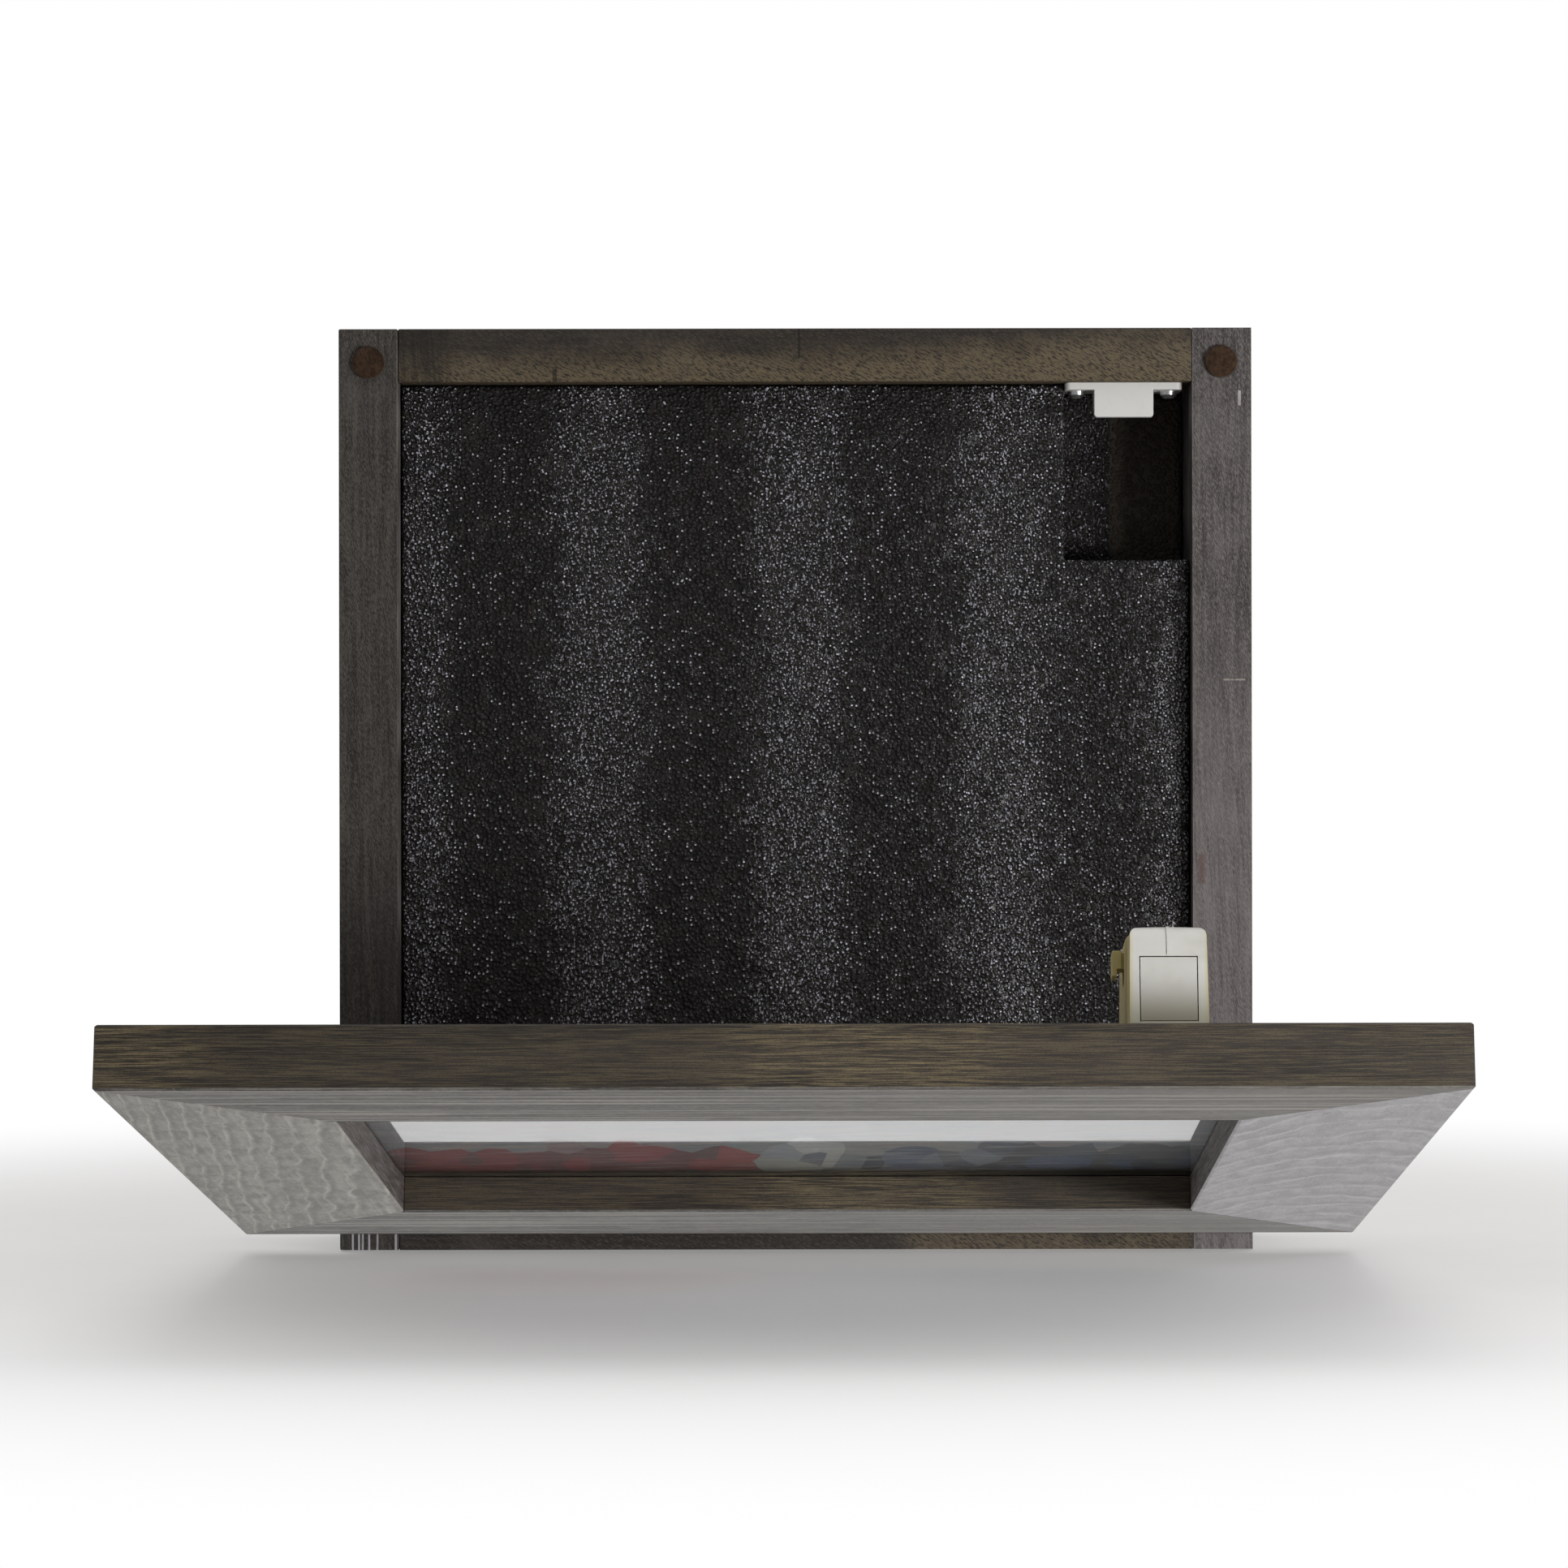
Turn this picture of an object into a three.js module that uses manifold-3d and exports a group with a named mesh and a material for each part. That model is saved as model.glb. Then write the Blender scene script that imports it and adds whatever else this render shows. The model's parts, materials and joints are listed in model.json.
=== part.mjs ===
// Shadow box that hangs on a wall: a board case lined with foam, a picture frame hinged along
// its bottom edge as a drop-front door, and a magnetic latch hidden behind the frame.
// Millimetres, +Z up. The origin is the centre of the back face, which rests on the wall.
// The box opens towards -Y, and +X is to the right of someone facing it.

import * as THREE from 'three';
import { mergeVertices } from 'three/addons/utils/BufferGeometryUtils.js';
import Module from 'manifold-3d';

const wasm = await Module();
wasm.setup();

// ---- Driving dimensions ----

const fitGap = 0.3; // between pieces that lie against each other
const drillGap = 0.2; // round a screw, a pin or a pressed-in piece

// Case
const boxWidth = 324;
const boxHeight = 327;
const boxDepth = 63.5;
const sideThickness = 21;
const boardThickness = 19;
const frontY = -boxDepth;
const innerX = boxWidth / 2 - sideThickness;
const innerZ = boxHeight / 2 - boardThickness;

// Lining
const panelThickness = 6;
const backFoamThickness = 12.7;
const frontFoamThickness = 38.1;
const notchLeft = 96;
const notchBottom = 81.5;

// Door, open at rest
const doorWidth = 392;
const doorHeight = 337;
const doorThickness = 19;
const doorShift = 1.2; // the door hangs slightly right of the middle of the case
const faceWidth = 62;
const glassRecess = 11.9;
const rabbetWidth = 6.3;
const openAngle = THREE.MathUtils.degToRad(77.6);

// Hinge: the pin runs along X in front of the bottom of the opening
const leafThickness = 0.9;
const leafClearance = 0.25; // from the plane through the pin to the inner face of a leaf
const leafLength = 38;
const leafReach = 19.3;
const knuckleRadius = 1.7;
const knuckleLength = 12.4;
const pinRadius = 0.8;
const hingeX = 105;
const leafSeat = leafClearance + leafThickness;
const pinY = frontY - leafSeat;
const pinZ = -137.5;
const doorBackY = -1.4; // back face of the closed door, from the pin
const doorFrontY = doorBackY - doorThickness;

// Latch, in the closed door's frame
const latchX = 115.5;
const latchHeight = 265.8; // from the bottom edge of the door to the side that faces the strike
const latchWidth = 24.2;
const latchTaper = 0.6; // narrowing of each side between the door and the free end
const latchReach = 41.8;
const latchLength = 44;
const latchWall = 2;
const tongueWidth = 17;
const tongueLength = 19.3;
const tongueTop = -0.2;
const tongueBottom = -5.6;
const tongueNear = 12.6; // catch end of the tongue, from the back of the door
const tongueFar = tongueNear + tongueLength;
const pivotY = tongueFar - 4;
const pivotZ = -3.4;
const latchPinRadius = 1;
const latchPinHalf = latchWidth / 2 - 1.2;
const magnetRadius = 4;
const magnetLength = 5;
const magnetSeat = 4; // depth of the magnet's seat in the tongue
const magnetY = tongueNear + 6.4;

// Strike, under the top board
const strikeX = 117;
const strikeY = frontY + 4.3;
const strikeFlangeWidth = 41.6;
const strikeFlangeDepth = 18;
const strikeFlangeThickness = 2.6;
const strikeBlockWidth = 21;
const strikeBlockHeight = 12.3;
const strikeBlockThickness = 4.6;
const strikeScrewSpacing = 32.8;
const strikeScrewY = strikeY + 8;

// Screws: radius of head, height of head, radius of shank, length of shank, countersunk or not
const hingeScrew = { head: 2.4, height: 1.4, shank: 1.2, length: 14, sunk: false };
const strikeScrew = { head: 3.2, height: 2.4, shank: 1.6, length: 12, sunk: false };
const keyholeScrew = { head: 2.7, height: 1.4, shank: 1.3, length: 12, sunk: true };
const latchScrew = { head: 2.9, height: 1.6, shank: 1.4, length: 11, sunk: true };

// ---- Materials ----

function material(color, roughness, metalness) {
  return new THREE.MeshStandardMaterial({ color, roughness, metalness });
}

const caseWood = material(0x4a433c, 0.8, 0);
const frameWood = material(0x8d8983, 0.75, 0);
const plywood = material(0x8a6d4c, 0.8, 0);
const hardboard = material(0x5c4330, 0.85, 0);
const foam = material(0x161616, 0.7, 0);
const felt = material(0x4f3326, 0.95, 0);
const paper = material(0x6d6a52, 0.7, 0);
const glass = material(0xd7e4e2, 0.05, 0);
const whitePlastic = material(0xe4e2dc, 0.45, 0);
const ivoryPlastic = material(0xd9d5c3, 0.45, 0);
const olivePlastic = material(0x8a8350, 0.5, 0);
const zincSteel = material(0xb9bcc0, 0.35, 0.9);
const brass = material(0xa98a4e, 0.35, 0.9);
const magnetMetal = material(0xc9cbce, 0.25, 0.9);

// ---- Shapes ----

// A closed geometry as a solid that can be joined, cut and intersected.
function solid(geometry) {
  const plain = geometry.index ? geometry.toNonIndexed() : geometry.clone();
  plain.deleteAttribute('normal');
  plain.deleteAttribute('uv');
  const welded = mergeVertices(plain, 1e-4);
  return new wasm.Manifold(
    new wasm.Mesh({
      numProp: 3,
      vertProperties: welded.attributes.position.array,
      triVerts: new Uint32Array(welded.index.array),
    }),
  );
}

function geometryOf(body) {
  const { vertProperties, triVerts } = body.getMesh();
  const indexed = new THREE.BufferGeometry();
  indexed.setAttribute('position', new THREE.BufferAttribute(vertProperties, 3));
  indexed.setIndex(new THREE.BufferAttribute(triVerts, 1));
  const geometry = indexed.toNonIndexed();
  geometry.computeVertexNormals();
  return geometry;
}

function block([x0, x1], [y0, y1], [z0, z1]) {
  const geometry = new THREE.BoxGeometry(x1 - x0, y1 - y0, z1 - z0);
  geometry.translate((x0 + x1) / 2, (y0 + y1) / 2, (z0 + z1) / 2);
  return solid(geometry);
}

function centred(width) {
  return [-width / 2, width / 2];
}

// A rod, or a cone with a second radius, from a point along a direction.
function rod(start, direction, length, radius, segments = 24, endRadius = radius) {
  const geometry = new THREE.CylinderGeometry(endRadius, radius, length, segments);
  geometry.translate(0, length / 2, 0);
  const up = new THREE.Vector3(0, 1, 0);
  geometry.applyQuaternion(
    new THREE.Quaternion().setFromUnitVectors(up, new THREE.Vector3(...direction)),
  );
  geometry.translate(...start);
  return solid(geometry);
}

// An outline of [a, b] points pushed from one place to another along an axis.
// Along x the points are [y, z], along y they are [x, z], and along z they are [x, y].
function prism(outline, axis, from, to) {
  const shape = new THREE.Shape(outline.map(([a, b]) => new THREE.Vector2(a, b)));
  const geometry = new THREE.ExtrudeGeometry(shape, { depth: to - from, bevelEnabled: false });
  const x = new THREE.Vector3(1, 0, 0);
  const y = new THREE.Vector3(0, 1, 0);
  const z = new THREE.Vector3(0, 0, 1);
  const turn = new THREE.Matrix4();
  if (axis === 'x') turn.makeBasis(y, z, x).setPosition(from, 0, 0);
  if (axis === 'y') turn.makeBasis(x, z, y.clone().negate()).setPosition(0, to, 0);
  if (axis === 'z') turn.setPosition(0, 0, from);
  geometry.applyMatrix4(turn);
  return solid(geometry);
}

// Outline of a rectangle whose four corners are cut round with the given radii,
// in the order low-left, low-right, high-right, high-left.
function roundedOutline([a0, a1], [b0, b1], radii, steps = 4) {
  const corners = [
    [a0, b0, 1, 1, Math.PI],
    [a1, b0, -1, 1, 1.5 * Math.PI],
    [a1, b1, -1, -1, 0],
    [a0, b1, 1, -1, 0.5 * Math.PI],
  ];
  return corners.flatMap(([a, b, inA, inB, start], corner) => {
    const radius = radii[corner];
    if (!radius) return [[a, b]];
    return Array.from({ length: steps + 1 }, (_, i) => {
      const angle = start + (i / steps) * (Math.PI / 2);
      return [
        a + inA * radius + radius * Math.cos(angle),
        b + inB * radius + radius * Math.sin(angle),
      ];
    });
  });
}

function add(group, name, body, look) {
  const mesh = new THREE.Mesh(geometryOf(body), look);
  mesh.name = name;
  group.add(mesh);
  return mesh;
}

// ---- Screws ----

// A cross-head screw standing on its seat: the head points to +Z and the shank to -Z.
function screwBody({ head, height, shank, length, sunk }) {
  const up = [0, 0, 1];
  const down = [0, 0, -1];
  const tip = 2 * shank;
  const segments = 16;
  let body = rod([0, 0, 0.1], down, length - tip + 0.1, shank, segments)
    .add(rod([0, 0, tip - length + 0.01], down, tip, shank, segments, 0.2));
  let top = 0;
  if (sunk) {
    body = body.add(rod([0, 0, 0], down, height, head, segments, shank));
  } else {
    const shoulder = 0.55 * height;
    body = body
      .add(rod([0, 0, 0], up, shoulder, head, segments, 0.94 * head))
      .add(rod([0, 0, shoulder - 0.01], up, height - shoulder + 0.01, 0.94 * head, segments, 0.6 * head));
    top = height;
  }
  const armHalf = 0.55 * head;
  const slotHalf = 0.13 * head;
  const slotZ = [top - 0.55 * height, top + 1];
  return body
    .subtract(block([-armHalf, armHalf], [-slotHalf, slotHalf], slotZ))
    .subtract(block([-slotHalf, slotHalf], [-armHalf, armHalf], slotZ));
}

function addScrew(group, name, kind, at, headDirection, look = zincSteel) {
  const mesh = add(group, name, screwBody(kind), look);
  mesh.position.set(...at);
  mesh.quaternion.setFromUnitVectors(
    new THREE.Vector3(0, 0, 1),
    new THREE.Vector3(...headDirection),
  );
}

// The hole a screw needs, from its seat into the piece that holds it.
function screwHole({ shank, length }, at, headDirection) {
  const inward = headDirection.map((part) => -part);
  const start = at.map((value, i) => value + headDirection[i]);
  return rod(start, inward, length + 1 + fitGap, shank + drillGap, 16);
}

// The cone a countersunk head sits in, flush with the surface.
function countersink({ head, height }, at, headDirection) {
  const inward = headDirection.map((part) => -part);
  const grow = drillGap;
  return rod(at, inward, height + grow, head + grow, 16, head - height);
}

// ---- Case ----

const toWall = [0, 1, 0];
const toViewer = [0, -1, 0];
const upward = [0, 0, 1];
const downward = [0, 0, -1];
const sides = [
  { name: 'left', sign: -1 },
  { name: 'right', sign: 1 },
];

// Keyhole hangers, let into the back edge of each side board
const keyholeX = boxWidth / 2 - sideThickness / 2;
const keyholeZ = 118;
const keyholeWidth = 15;
const keyholeHeight = 38;
const keyholeThickness = 1.5;
const keyholeScrewOffset = 14;
const keyholeEntryRadius = 4;
const keyholeEntryZ = keyholeZ - 4.5;
const keyholeNeckRadius = 2;
const keyholeNeckZ = keyholeZ + 6;
const nailRoomHalf = 5;
const nailRoomRise = 9;
const nailRoomDepth = 9;

const hingeScrewOffset = 11;

function hingeScrewPlaces(sign) {
  return [-hingeScrewOffset, hingeScrewOffset].map((offset) => sign * hingeX + offset);
}

function keyholePocket(x) {
  const plateWidth = keyholeWidth + 2 * fitGap;
  const plateHeight = keyholeHeight + 2 * fitGap;
  const pocket = prism(
    roundedOutline(
      [x - plateWidth / 2, x + plateWidth / 2],
      [keyholeZ - plateHeight / 2, keyholeZ + plateHeight / 2],
      [3, 3, 3, 3],
    ),
    'y', -keyholeThickness - fitGap, 1,
  );
  const nailRoom = block(
    [x - nailRoomHalf, x + nailRoomHalf],
    [-nailRoomDepth, 1],
    [keyholeZ - nailRoomRise, keyholeZ + nailRoomRise],
  );
  return pocket.add(nailRoom);
}

function sideBoard(sign) {
  const x = sign * keyholeX;
  let board = block(
    [x - sideThickness / 2, x + sideThickness / 2],
    [frontY, 0],
    centred(boxHeight),
  ).subtract(keyholePocket(x));
  for (const offset of [-keyholeScrewOffset, keyholeScrewOffset]) {
    board = board.subtract(screwHole(keyholeScrew, [x, 0, keyholeZ + offset], toWall));
  }
  return board;
}

function keyholePlate(sign) {
  const x = sign * keyholeX;
  let plate = prism(
    roundedOutline(
      [x - keyholeWidth / 2, x + keyholeWidth / 2],
      [keyholeZ - keyholeHeight / 2, keyholeZ + keyholeHeight / 2],
      [3, 3, 3, 3],
    ),
    'y', -keyholeThickness, 0,
  );
  const through = [-keyholeThickness - 1, 1];
  const drillLength = through[1] - through[0];
  plate = plate
    .subtract(rod([x, through[0], keyholeEntryZ], toWall, drillLength, keyholeEntryRadius))
    .subtract(
      block(
        [x - keyholeNeckRadius, x + keyholeNeckRadius],
        through,
        [keyholeEntryZ, keyholeNeckZ],
      ),
    )
    .subtract(rod([x, through[0], keyholeNeckZ], toWall, drillLength, keyholeNeckRadius));
  for (const offset of [-keyholeScrewOffset, keyholeScrewOffset]) {
    const at = [x, 0, keyholeZ + offset];
    plate = plate
      .subtract(screwHole(keyholeScrew, at, toWall))
      .subtract(countersink(keyholeScrew, at, toWall));
  }
  return plate;
}

function topBoard() {
  let board = block(centred(2 * innerX - fitGap), [frontY, 0], [innerZ, boxHeight / 2]);
  for (const offset of centred(strikeScrewSpacing)) {
    const at = [strikeX + offset, strikeScrewY, innerZ - strikeFlangeThickness];
    board = board.subtract(screwHole(strikeScrew, at, downward));
  }
  return board;
}

function bottomBoard() {
  let board = block(centred(2 * innerX - fitGap), [frontY, 0], [-boxHeight / 2, -innerZ]);
  for (const { sign } of sides) {
    for (const x of hingeScrewPlaces(sign)) {
      board = board.subtract(screwHole(hingeScrew, [x, frontY, pinZ - hingeScrewReach], toViewer));
    }
  }
  return board;
}

function backPanel() {
  return block(
    centred(2 * (innerX - fitGap)),
    [-panelThickness, 0],
    centred(2 * (innerZ - fitGap)),
  );
}

const foamX = innerX - 2 * fitGap;
const foamZ = innerZ - 2 * fitGap;
const backFoamFront = -panelThickness - backFoamThickness;
const frontFoamFront = backFoamFront - frontFoamThickness;

function backFoam() {
  return block(centred(2 * foamX), [backFoamFront, -panelThickness - fitGap], centred(2 * foamZ));
}

// The front layer leaves the top right corner open for the latch.
function frontFoam() {
  const outline = [
    [-foamX, -foamZ],
    [foamX, -foamZ],
    [foamX, notchBottom],
    [notchLeft, notchBottom],
    [notchLeft, foamZ],
    [-foamX, foamZ],
  ];
  return prism(outline, 'y', frontFoamFront, backFoamFront - fitGap);
}

const bumperRadius = 6;
const bumperThickness = 2.3;
const bumperInset = 10.8; // from the side of the case
const bumperDrop = 12; // from the top of the case

function feltBumper(sign) {
  const at = [sign * (boxWidth / 2 - bumperInset), frontY, boxHeight / 2 - bumperDrop];
  return rod(at, toViewer, bumperThickness, bumperRadius, 40);
}

function strikePlate() {
  const top = innerZ;
  const flangeBottom = top - strikeFlangeThickness;
  const blockBottom = top - strikeBlockHeight;
  const across = (width) => centred(width).map((value) => strikeX + value);
  const flange = prism(
    roundedOutline(
      across(strikeFlangeWidth),
      [strikeY, strikeY + strikeFlangeDepth],
      [2, 2, 2, 2],
    ),
    'z', flangeBottom, top,
  );
  const catchBlock = prism(
    roundedOutline(across(strikeBlockWidth), [blockBottom, top - 0.5], [1, 1, 0, 0]),
    'y', strikeY, strikeY + strikeBlockThickness,
  );
  let plate = flange.add(catchBlock);
  const backOfBlock = strikeY + strikeBlockThickness;
  const rib = [
    [backOfBlock - 0.5, blockBottom + 1.2],
    [backOfBlock, blockBottom + 1.2],
    [strikeY + strikeFlangeDepth - 2, flangeBottom],
    [strikeY + strikeFlangeDepth - 2, top - 0.5],
    [backOfBlock - 0.5, top - 0.5],
  ];
  const ribWidth = 1.1;
  for (const { sign } of sides) {
    const outer = strikeX + sign * (strikeBlockWidth / 2);
    const inner = outer - sign * ribWidth;
    plate = plate.add(prism(rib, 'x', Math.min(outer, inner), Math.max(outer, inner)));
  }
  for (const offset of centred(strikeScrewSpacing)) {
    const at = [strikeX + offset, strikeScrewY, flangeBottom];
    plate = plate.subtract(screwHole(strikeScrew, at, downward));
  }
  return plate;
}

// ---- Hinges ----

const hingeScrewReach = 12.7; // from the pin

// A leaf with its knuckles. x runs along the pin, y is the distance from the pin along the
// leaf, and z points to the wood that the leaf is screwed to.
function hingeLeaf(hasMiddleKnuckle) {
  const [x0, x1] = centred(leafLength);
  const middle = knuckleLength / 2;
  const cutBack = knuckleRadius + fitGap;
  let leaf = prism(
    roundedOutline([x0, x1], [0, leafReach], [0, 0, 2, 2]),
    'z', leafClearance, leafSeat,
  );
  const roomForOther = middle + fitGap;
  if (hasMiddleKnuckle) {
    leaf = leaf
      .subtract(block([x0 - 1, -middle], [-1, cutBack], [-3, 3]))
      .subtract(block([middle, x1 + 1], [-1, cutBack], [-3, 3]))
      .add(rod([-middle, 0, 0], [1, 0, 0], knuckleLength, knuckleRadius));
  } else {
    leaf = leaf
      .subtract(block([-roomForOther, roomForOther], [-1, cutBack], [-3, 3]))
      .add(rod([x0, 0, 0], [1, 0, 0], -roomForOther - x0, knuckleRadius))
      .add(rod([roomForOther, 0, 0], [1, 0, 0], x1 - roomForOther, knuckleRadius));
  }
  leaf = leaf.subtract(rod([x0 - 1, 0, 0], [1, 0, 0], leafLength + 2, pinRadius + drillGap));
  for (const x of hingeScrewPlaces(0)) {
    leaf = leaf.subtract(rod([x, hingeScrewReach, -2], upward, 5, hingeScrew.shank + drillGap, 16));
  }
  return leaf;
}

function hingePin(sign) {
  const capLength = 0.8;
  const capRadius = 1.3;
  const along = [1, 0, 0];
  const start = sign * hingeX - leafLength / 2 - drillGap;
  const end = sign * hingeX + leafLength / 2 + drillGap;
  return rod([start, pinY, pinZ], along, end - start, pinRadius)
    .add(rod([start - capLength, pinY, pinZ], along, capLength, capRadius))
    .add(rod([end, pinY, pinZ], along, capLength, capRadius));
}

function addHingeToCase(group, { name, sign }) {
  const leaf = add(group, `hinge_case_leaf_${name}`, hingeLeaf(false), brass);
  const down = new THREE.Vector3(0, 0, -1);
  const back = new THREE.Vector3(0, 1, 0);
  const along = new THREE.Vector3(1, 0, 0);
  leaf.applyMatrix4(
    new THREE.Matrix4().makeBasis(along, down, back).setPosition(sign * hingeX, pinY, pinZ),
  );
  add(group, `hinge_pin_${name}`, hingePin(sign), brass);
  const seatY = pinY + leafClearance;
  hingeScrewPlaces(sign).forEach((x, i) => {
    const at = [x, seatY, pinZ - hingeScrewReach];
    addScrew(group, `hinge_case_screw_${name}_${i + 1}`, hingeScrew, at, toViewer, brass);
  });
}

function addHingeToDoor(group, { name, sign }) {
  const leaf = add(group, `hinge_door_leaf_${name}`, hingeLeaf(true), brass);
  const along = new THREE.Vector3(-1, 0, 0);
  const outwards = new THREE.Vector3(0, -1, 0);
  const up = new THREE.Vector3(0, 0, 1);
  leaf.applyMatrix4(
    new THREE.Matrix4().makeBasis(along, outwards, up).setPosition(sign * hingeX, 0, 0),
  );
  hingeScrewPlaces(sign).forEach((x, i) => {
    const at = [x, -hingeScrewReach, leafClearance];
    addScrew(group, `hinge_door_screw_${name}_${i + 1}`, hingeScrew, at, downward, brass);
  });
}

// ---- Door, drawn closed with its hinge pin at the origin ----

const doorBottom = leafSeat;
const doorCentreZ = doorBottom + doorHeight / 2;
const glassThickness = 2;
const artThickness = 0.3;
const backingThickness = 2.4;
const glassY = doorFrontY + glassRecess + drillGap;
const artY = glassY + glassThickness + drillGap;
const backingY = artY + artThickness + drillGap;
const pointY = backingY + backingThickness + drillGap;
const pointThickness = 0.6;

// Cross-section of a frame rail: [distance from the outer edge, distance behind the front face].
const arris = 0.6;
const railSection = [
  [arris, 0],
  [faceWidth - arris, 0],
  [faceWidth, arris],
  [faceWidth, glassRecess],
  [faceWidth - rabbetWidth, glassRecess],
  [faceWidth - rabbetWidth, doorThickness],
  [arris, doorThickness],
  [0, doorThickness - arris],
  [0, arris],
];

// A rail with 45 degree ends, along the bottom of a frame that is centred on the origin.
// Quarter turns about Y carry it to the other three sides.
function frameRail(length, crossLength, quarterTurns) {
  const shape = new THREE.Shape(railSection.map(([a, b]) => new THREE.Vector2(a, b)));
  const geometry = new THREE.ExtrudeGeometry(shape, { depth: 2, bevelEnabled: false });
  const place = geometry.attributes.position;
  const setBack = fitGap / Math.SQRT2;
  for (let i = 0; i < place.count; i += 1) {
    const across = place.getX(i);
    const behind = place.getY(i);
    const end = place.getZ(i) > 1 ? -1 : 1;
    place.setXYZ(
      i,
      end * (length / 2 - across - setBack),
      doorFrontY + behind,
      across - crossLength / 2,
    );
  }
  geometry.rotateY((quarterTurns * Math.PI) / 2);
  geometry.translate(doorShift, 0, doorCentreZ);
  return solid(geometry);
}

// A V-shaped nail across the mitre of a corner, driven in from the back of the frame.
const nailFromCorner = 30;
const nailLeg = 7;
const nailThickness = 0.8;
const nailDepth = 8;

function mitreNail(signX, signZ, grow) {
  const legs = [0, 1].map((isUpright) => {
    const thickness = nailThickness / 2 + grow;
    const leg = new THREE.BoxGeometry(
      nailLeg + 2 * grow,
      nailDepth + 2 * grow,
      2 * thickness,
    );
    leg.translate(nailLeg / 2, doorBackY - nailDepth / 2, 0);
    leg.rotateY(isUpright ? -Math.PI / 2 : 0);
    leg.rotateY(signX * signZ > 0 ? 0 : Math.PI / 2);
    leg.rotateY(signZ > 0 ? 0 : Math.PI);
    leg.translate(
      doorShift + signX * (doorWidth / 2 - nailFromCorner),
      0,
      doorCentreZ + signZ * (doorHeight / 2 - nailFromCorner),
    );
    return solid(leg);
  });
  return legs[0].add(legs[1]);
}

const corners = [
  { name: 'bottom_left', signX: -1, signZ: -1 },
  { name: 'bottom_right', signX: 1, signZ: -1 },
  { name: 'top_left', signX: -1, signZ: 1 },
  { name: 'top_right', signX: 1, signZ: 1 },
];

// Glazing points: thin plates pressed into the wall of the rabbet, over the backing board.
const pointWidth = 10;
const pointInWood = 4;
const pointOut = 5;
const pointOffset = 75; // of the two on each rail, from the middle
const rabbetX = doorWidth / 2 - faceWidth + rabbetWidth;
const rabbetZ = doorHeight / 2 - faceWidth + rabbetWidth;
const glazingPlaces = [
  { side: 'x', sign: -1, along: 0 },
  { side: 'x', sign: 1, along: 0 },
  { side: 'z', sign: -1, along: -pointOffset },
  { side: 'z', sign: -1, along: pointOffset },
  { side: 'z', sign: 1, along: -pointOffset },
  { side: 'z', sign: 1, along: pointOffset },
];

function glazingPoint({ side, sign, along }, grow) {
  const wall = side === 'x' ? rabbetX : rabbetZ;
  const half = pointWidth / 2 + grow;
  const inward = wall - pointOut;
  const outward = wall + pointInWood + grow;
  const shoulder = wall + fitGap;
  const outline = [
    [inward, along - half],
    [shoulder, along - half],
    [outward, along],
    [shoulder, along + half],
    [inward, along + half],
  ];
  const centre = [doorShift, doorCentreZ];
  const turned = outline.map(([away, beside]) =>
    side === 'x'
      ? [centre[0] + sign * away, centre[1] + beside]
      : [centre[0] + beside, centre[1] + sign * away],
  );
  const mirrored = (side === 'x') === (sign < 0);
  const ordered = mirrored ? turned.reverse() : turned;
  return prism(ordered, 'y', pointY - grow, pointY + pointThickness + grow);
}

const latchFlangeScrewZ = 20.3;
const latchFlangeScrewX = 7.5;
const latchFlangeThickness = 2;

function latchScrewPlaces() {
  return [-latchFlangeScrewX, latchFlangeScrewX].map((x) => [
    latchX + x,
    doorBackY + latchFlangeThickness,
    doorBottom + latchHeight + latchFlangeScrewZ,
  ]);
}

function addFrame(group) {
  const rails = [
    { name: 'door_rail_bottom', length: doorWidth, cross: doorHeight, turns: 0 },
    { name: 'door_stile_right', length: doorHeight, cross: doorWidth, turns: 3 },
    { name: 'door_rail_top', length: doorWidth, cross: doorHeight, turns: 2 },
    { name: 'door_stile_left', length: doorHeight, cross: doorWidth, turns: 1 },
  ];
  const room = [
    ...corners.map(({ signX, signZ }) => mitreNail(signX, signZ, drillGap)),
    ...glazingPlaces.map((place) => glazingPoint(place, drillGap)),
    ...latchScrewPlaces().map((at) => screwHole(latchScrew, at, toWall)),
    ...sides.flatMap(({ sign }) =>
      hingeScrewPlaces(sign).map((x) =>
        screwHole(hingeScrew, [x, -hingeScrewReach, leafClearance], downward),
      ),
    ),
  ];
  for (const { name, length, cross, turns } of rails) {
    const rail = room.reduce((body, hole) => body.subtract(hole), frameRail(length, cross, turns));
    add(group, name, rail, frameWood);
  }
  corners.forEach(({ name, signX, signZ }) => {
    add(group, `mitre_nail_${name}`, mitreNail(signX, signZ, 0), zincSteel);
  });
}

function addPicture(group) {
  const width = 2 * (rabbetX - fitGap);
  const height = 2 * (rabbetZ - fitGap);
  const sheet = (from, thickness) =>
    block(
      centred(width).map((value) => value + doorShift),
      [from, from + thickness],
      centred(height).map((value) => value + doorCentreZ),
    );
  add(group, 'glass_pane', sheet(glassY, glassThickness), glass);
  add(group, 'art_print', sheet(artY, artThickness), paper);
  add(group, 'backing_board', sheet(backingY, backingThickness), hardboard);
  glazingPlaces.forEach((place, i) => {
    add(group, `glazing_point_${i + 1}`, glazingPoint(place, 0), zincSteel);
  });
}

// ---- Latch: x across, y out from the back of the door, z up towards the strike ----

const shellStep = 0.8; // the rear half of the housing is this much wider on each side
const shellStepZ = -14;
const switchNear = 29;
const switchFar = 36.9;
const switchTravel = 4;
const switchNeckNear = switchNear + 2.3;
const switchNeckFar = switchFar - 0.3;
const switchTop = -17;
const switchBottom = -25;

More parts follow.
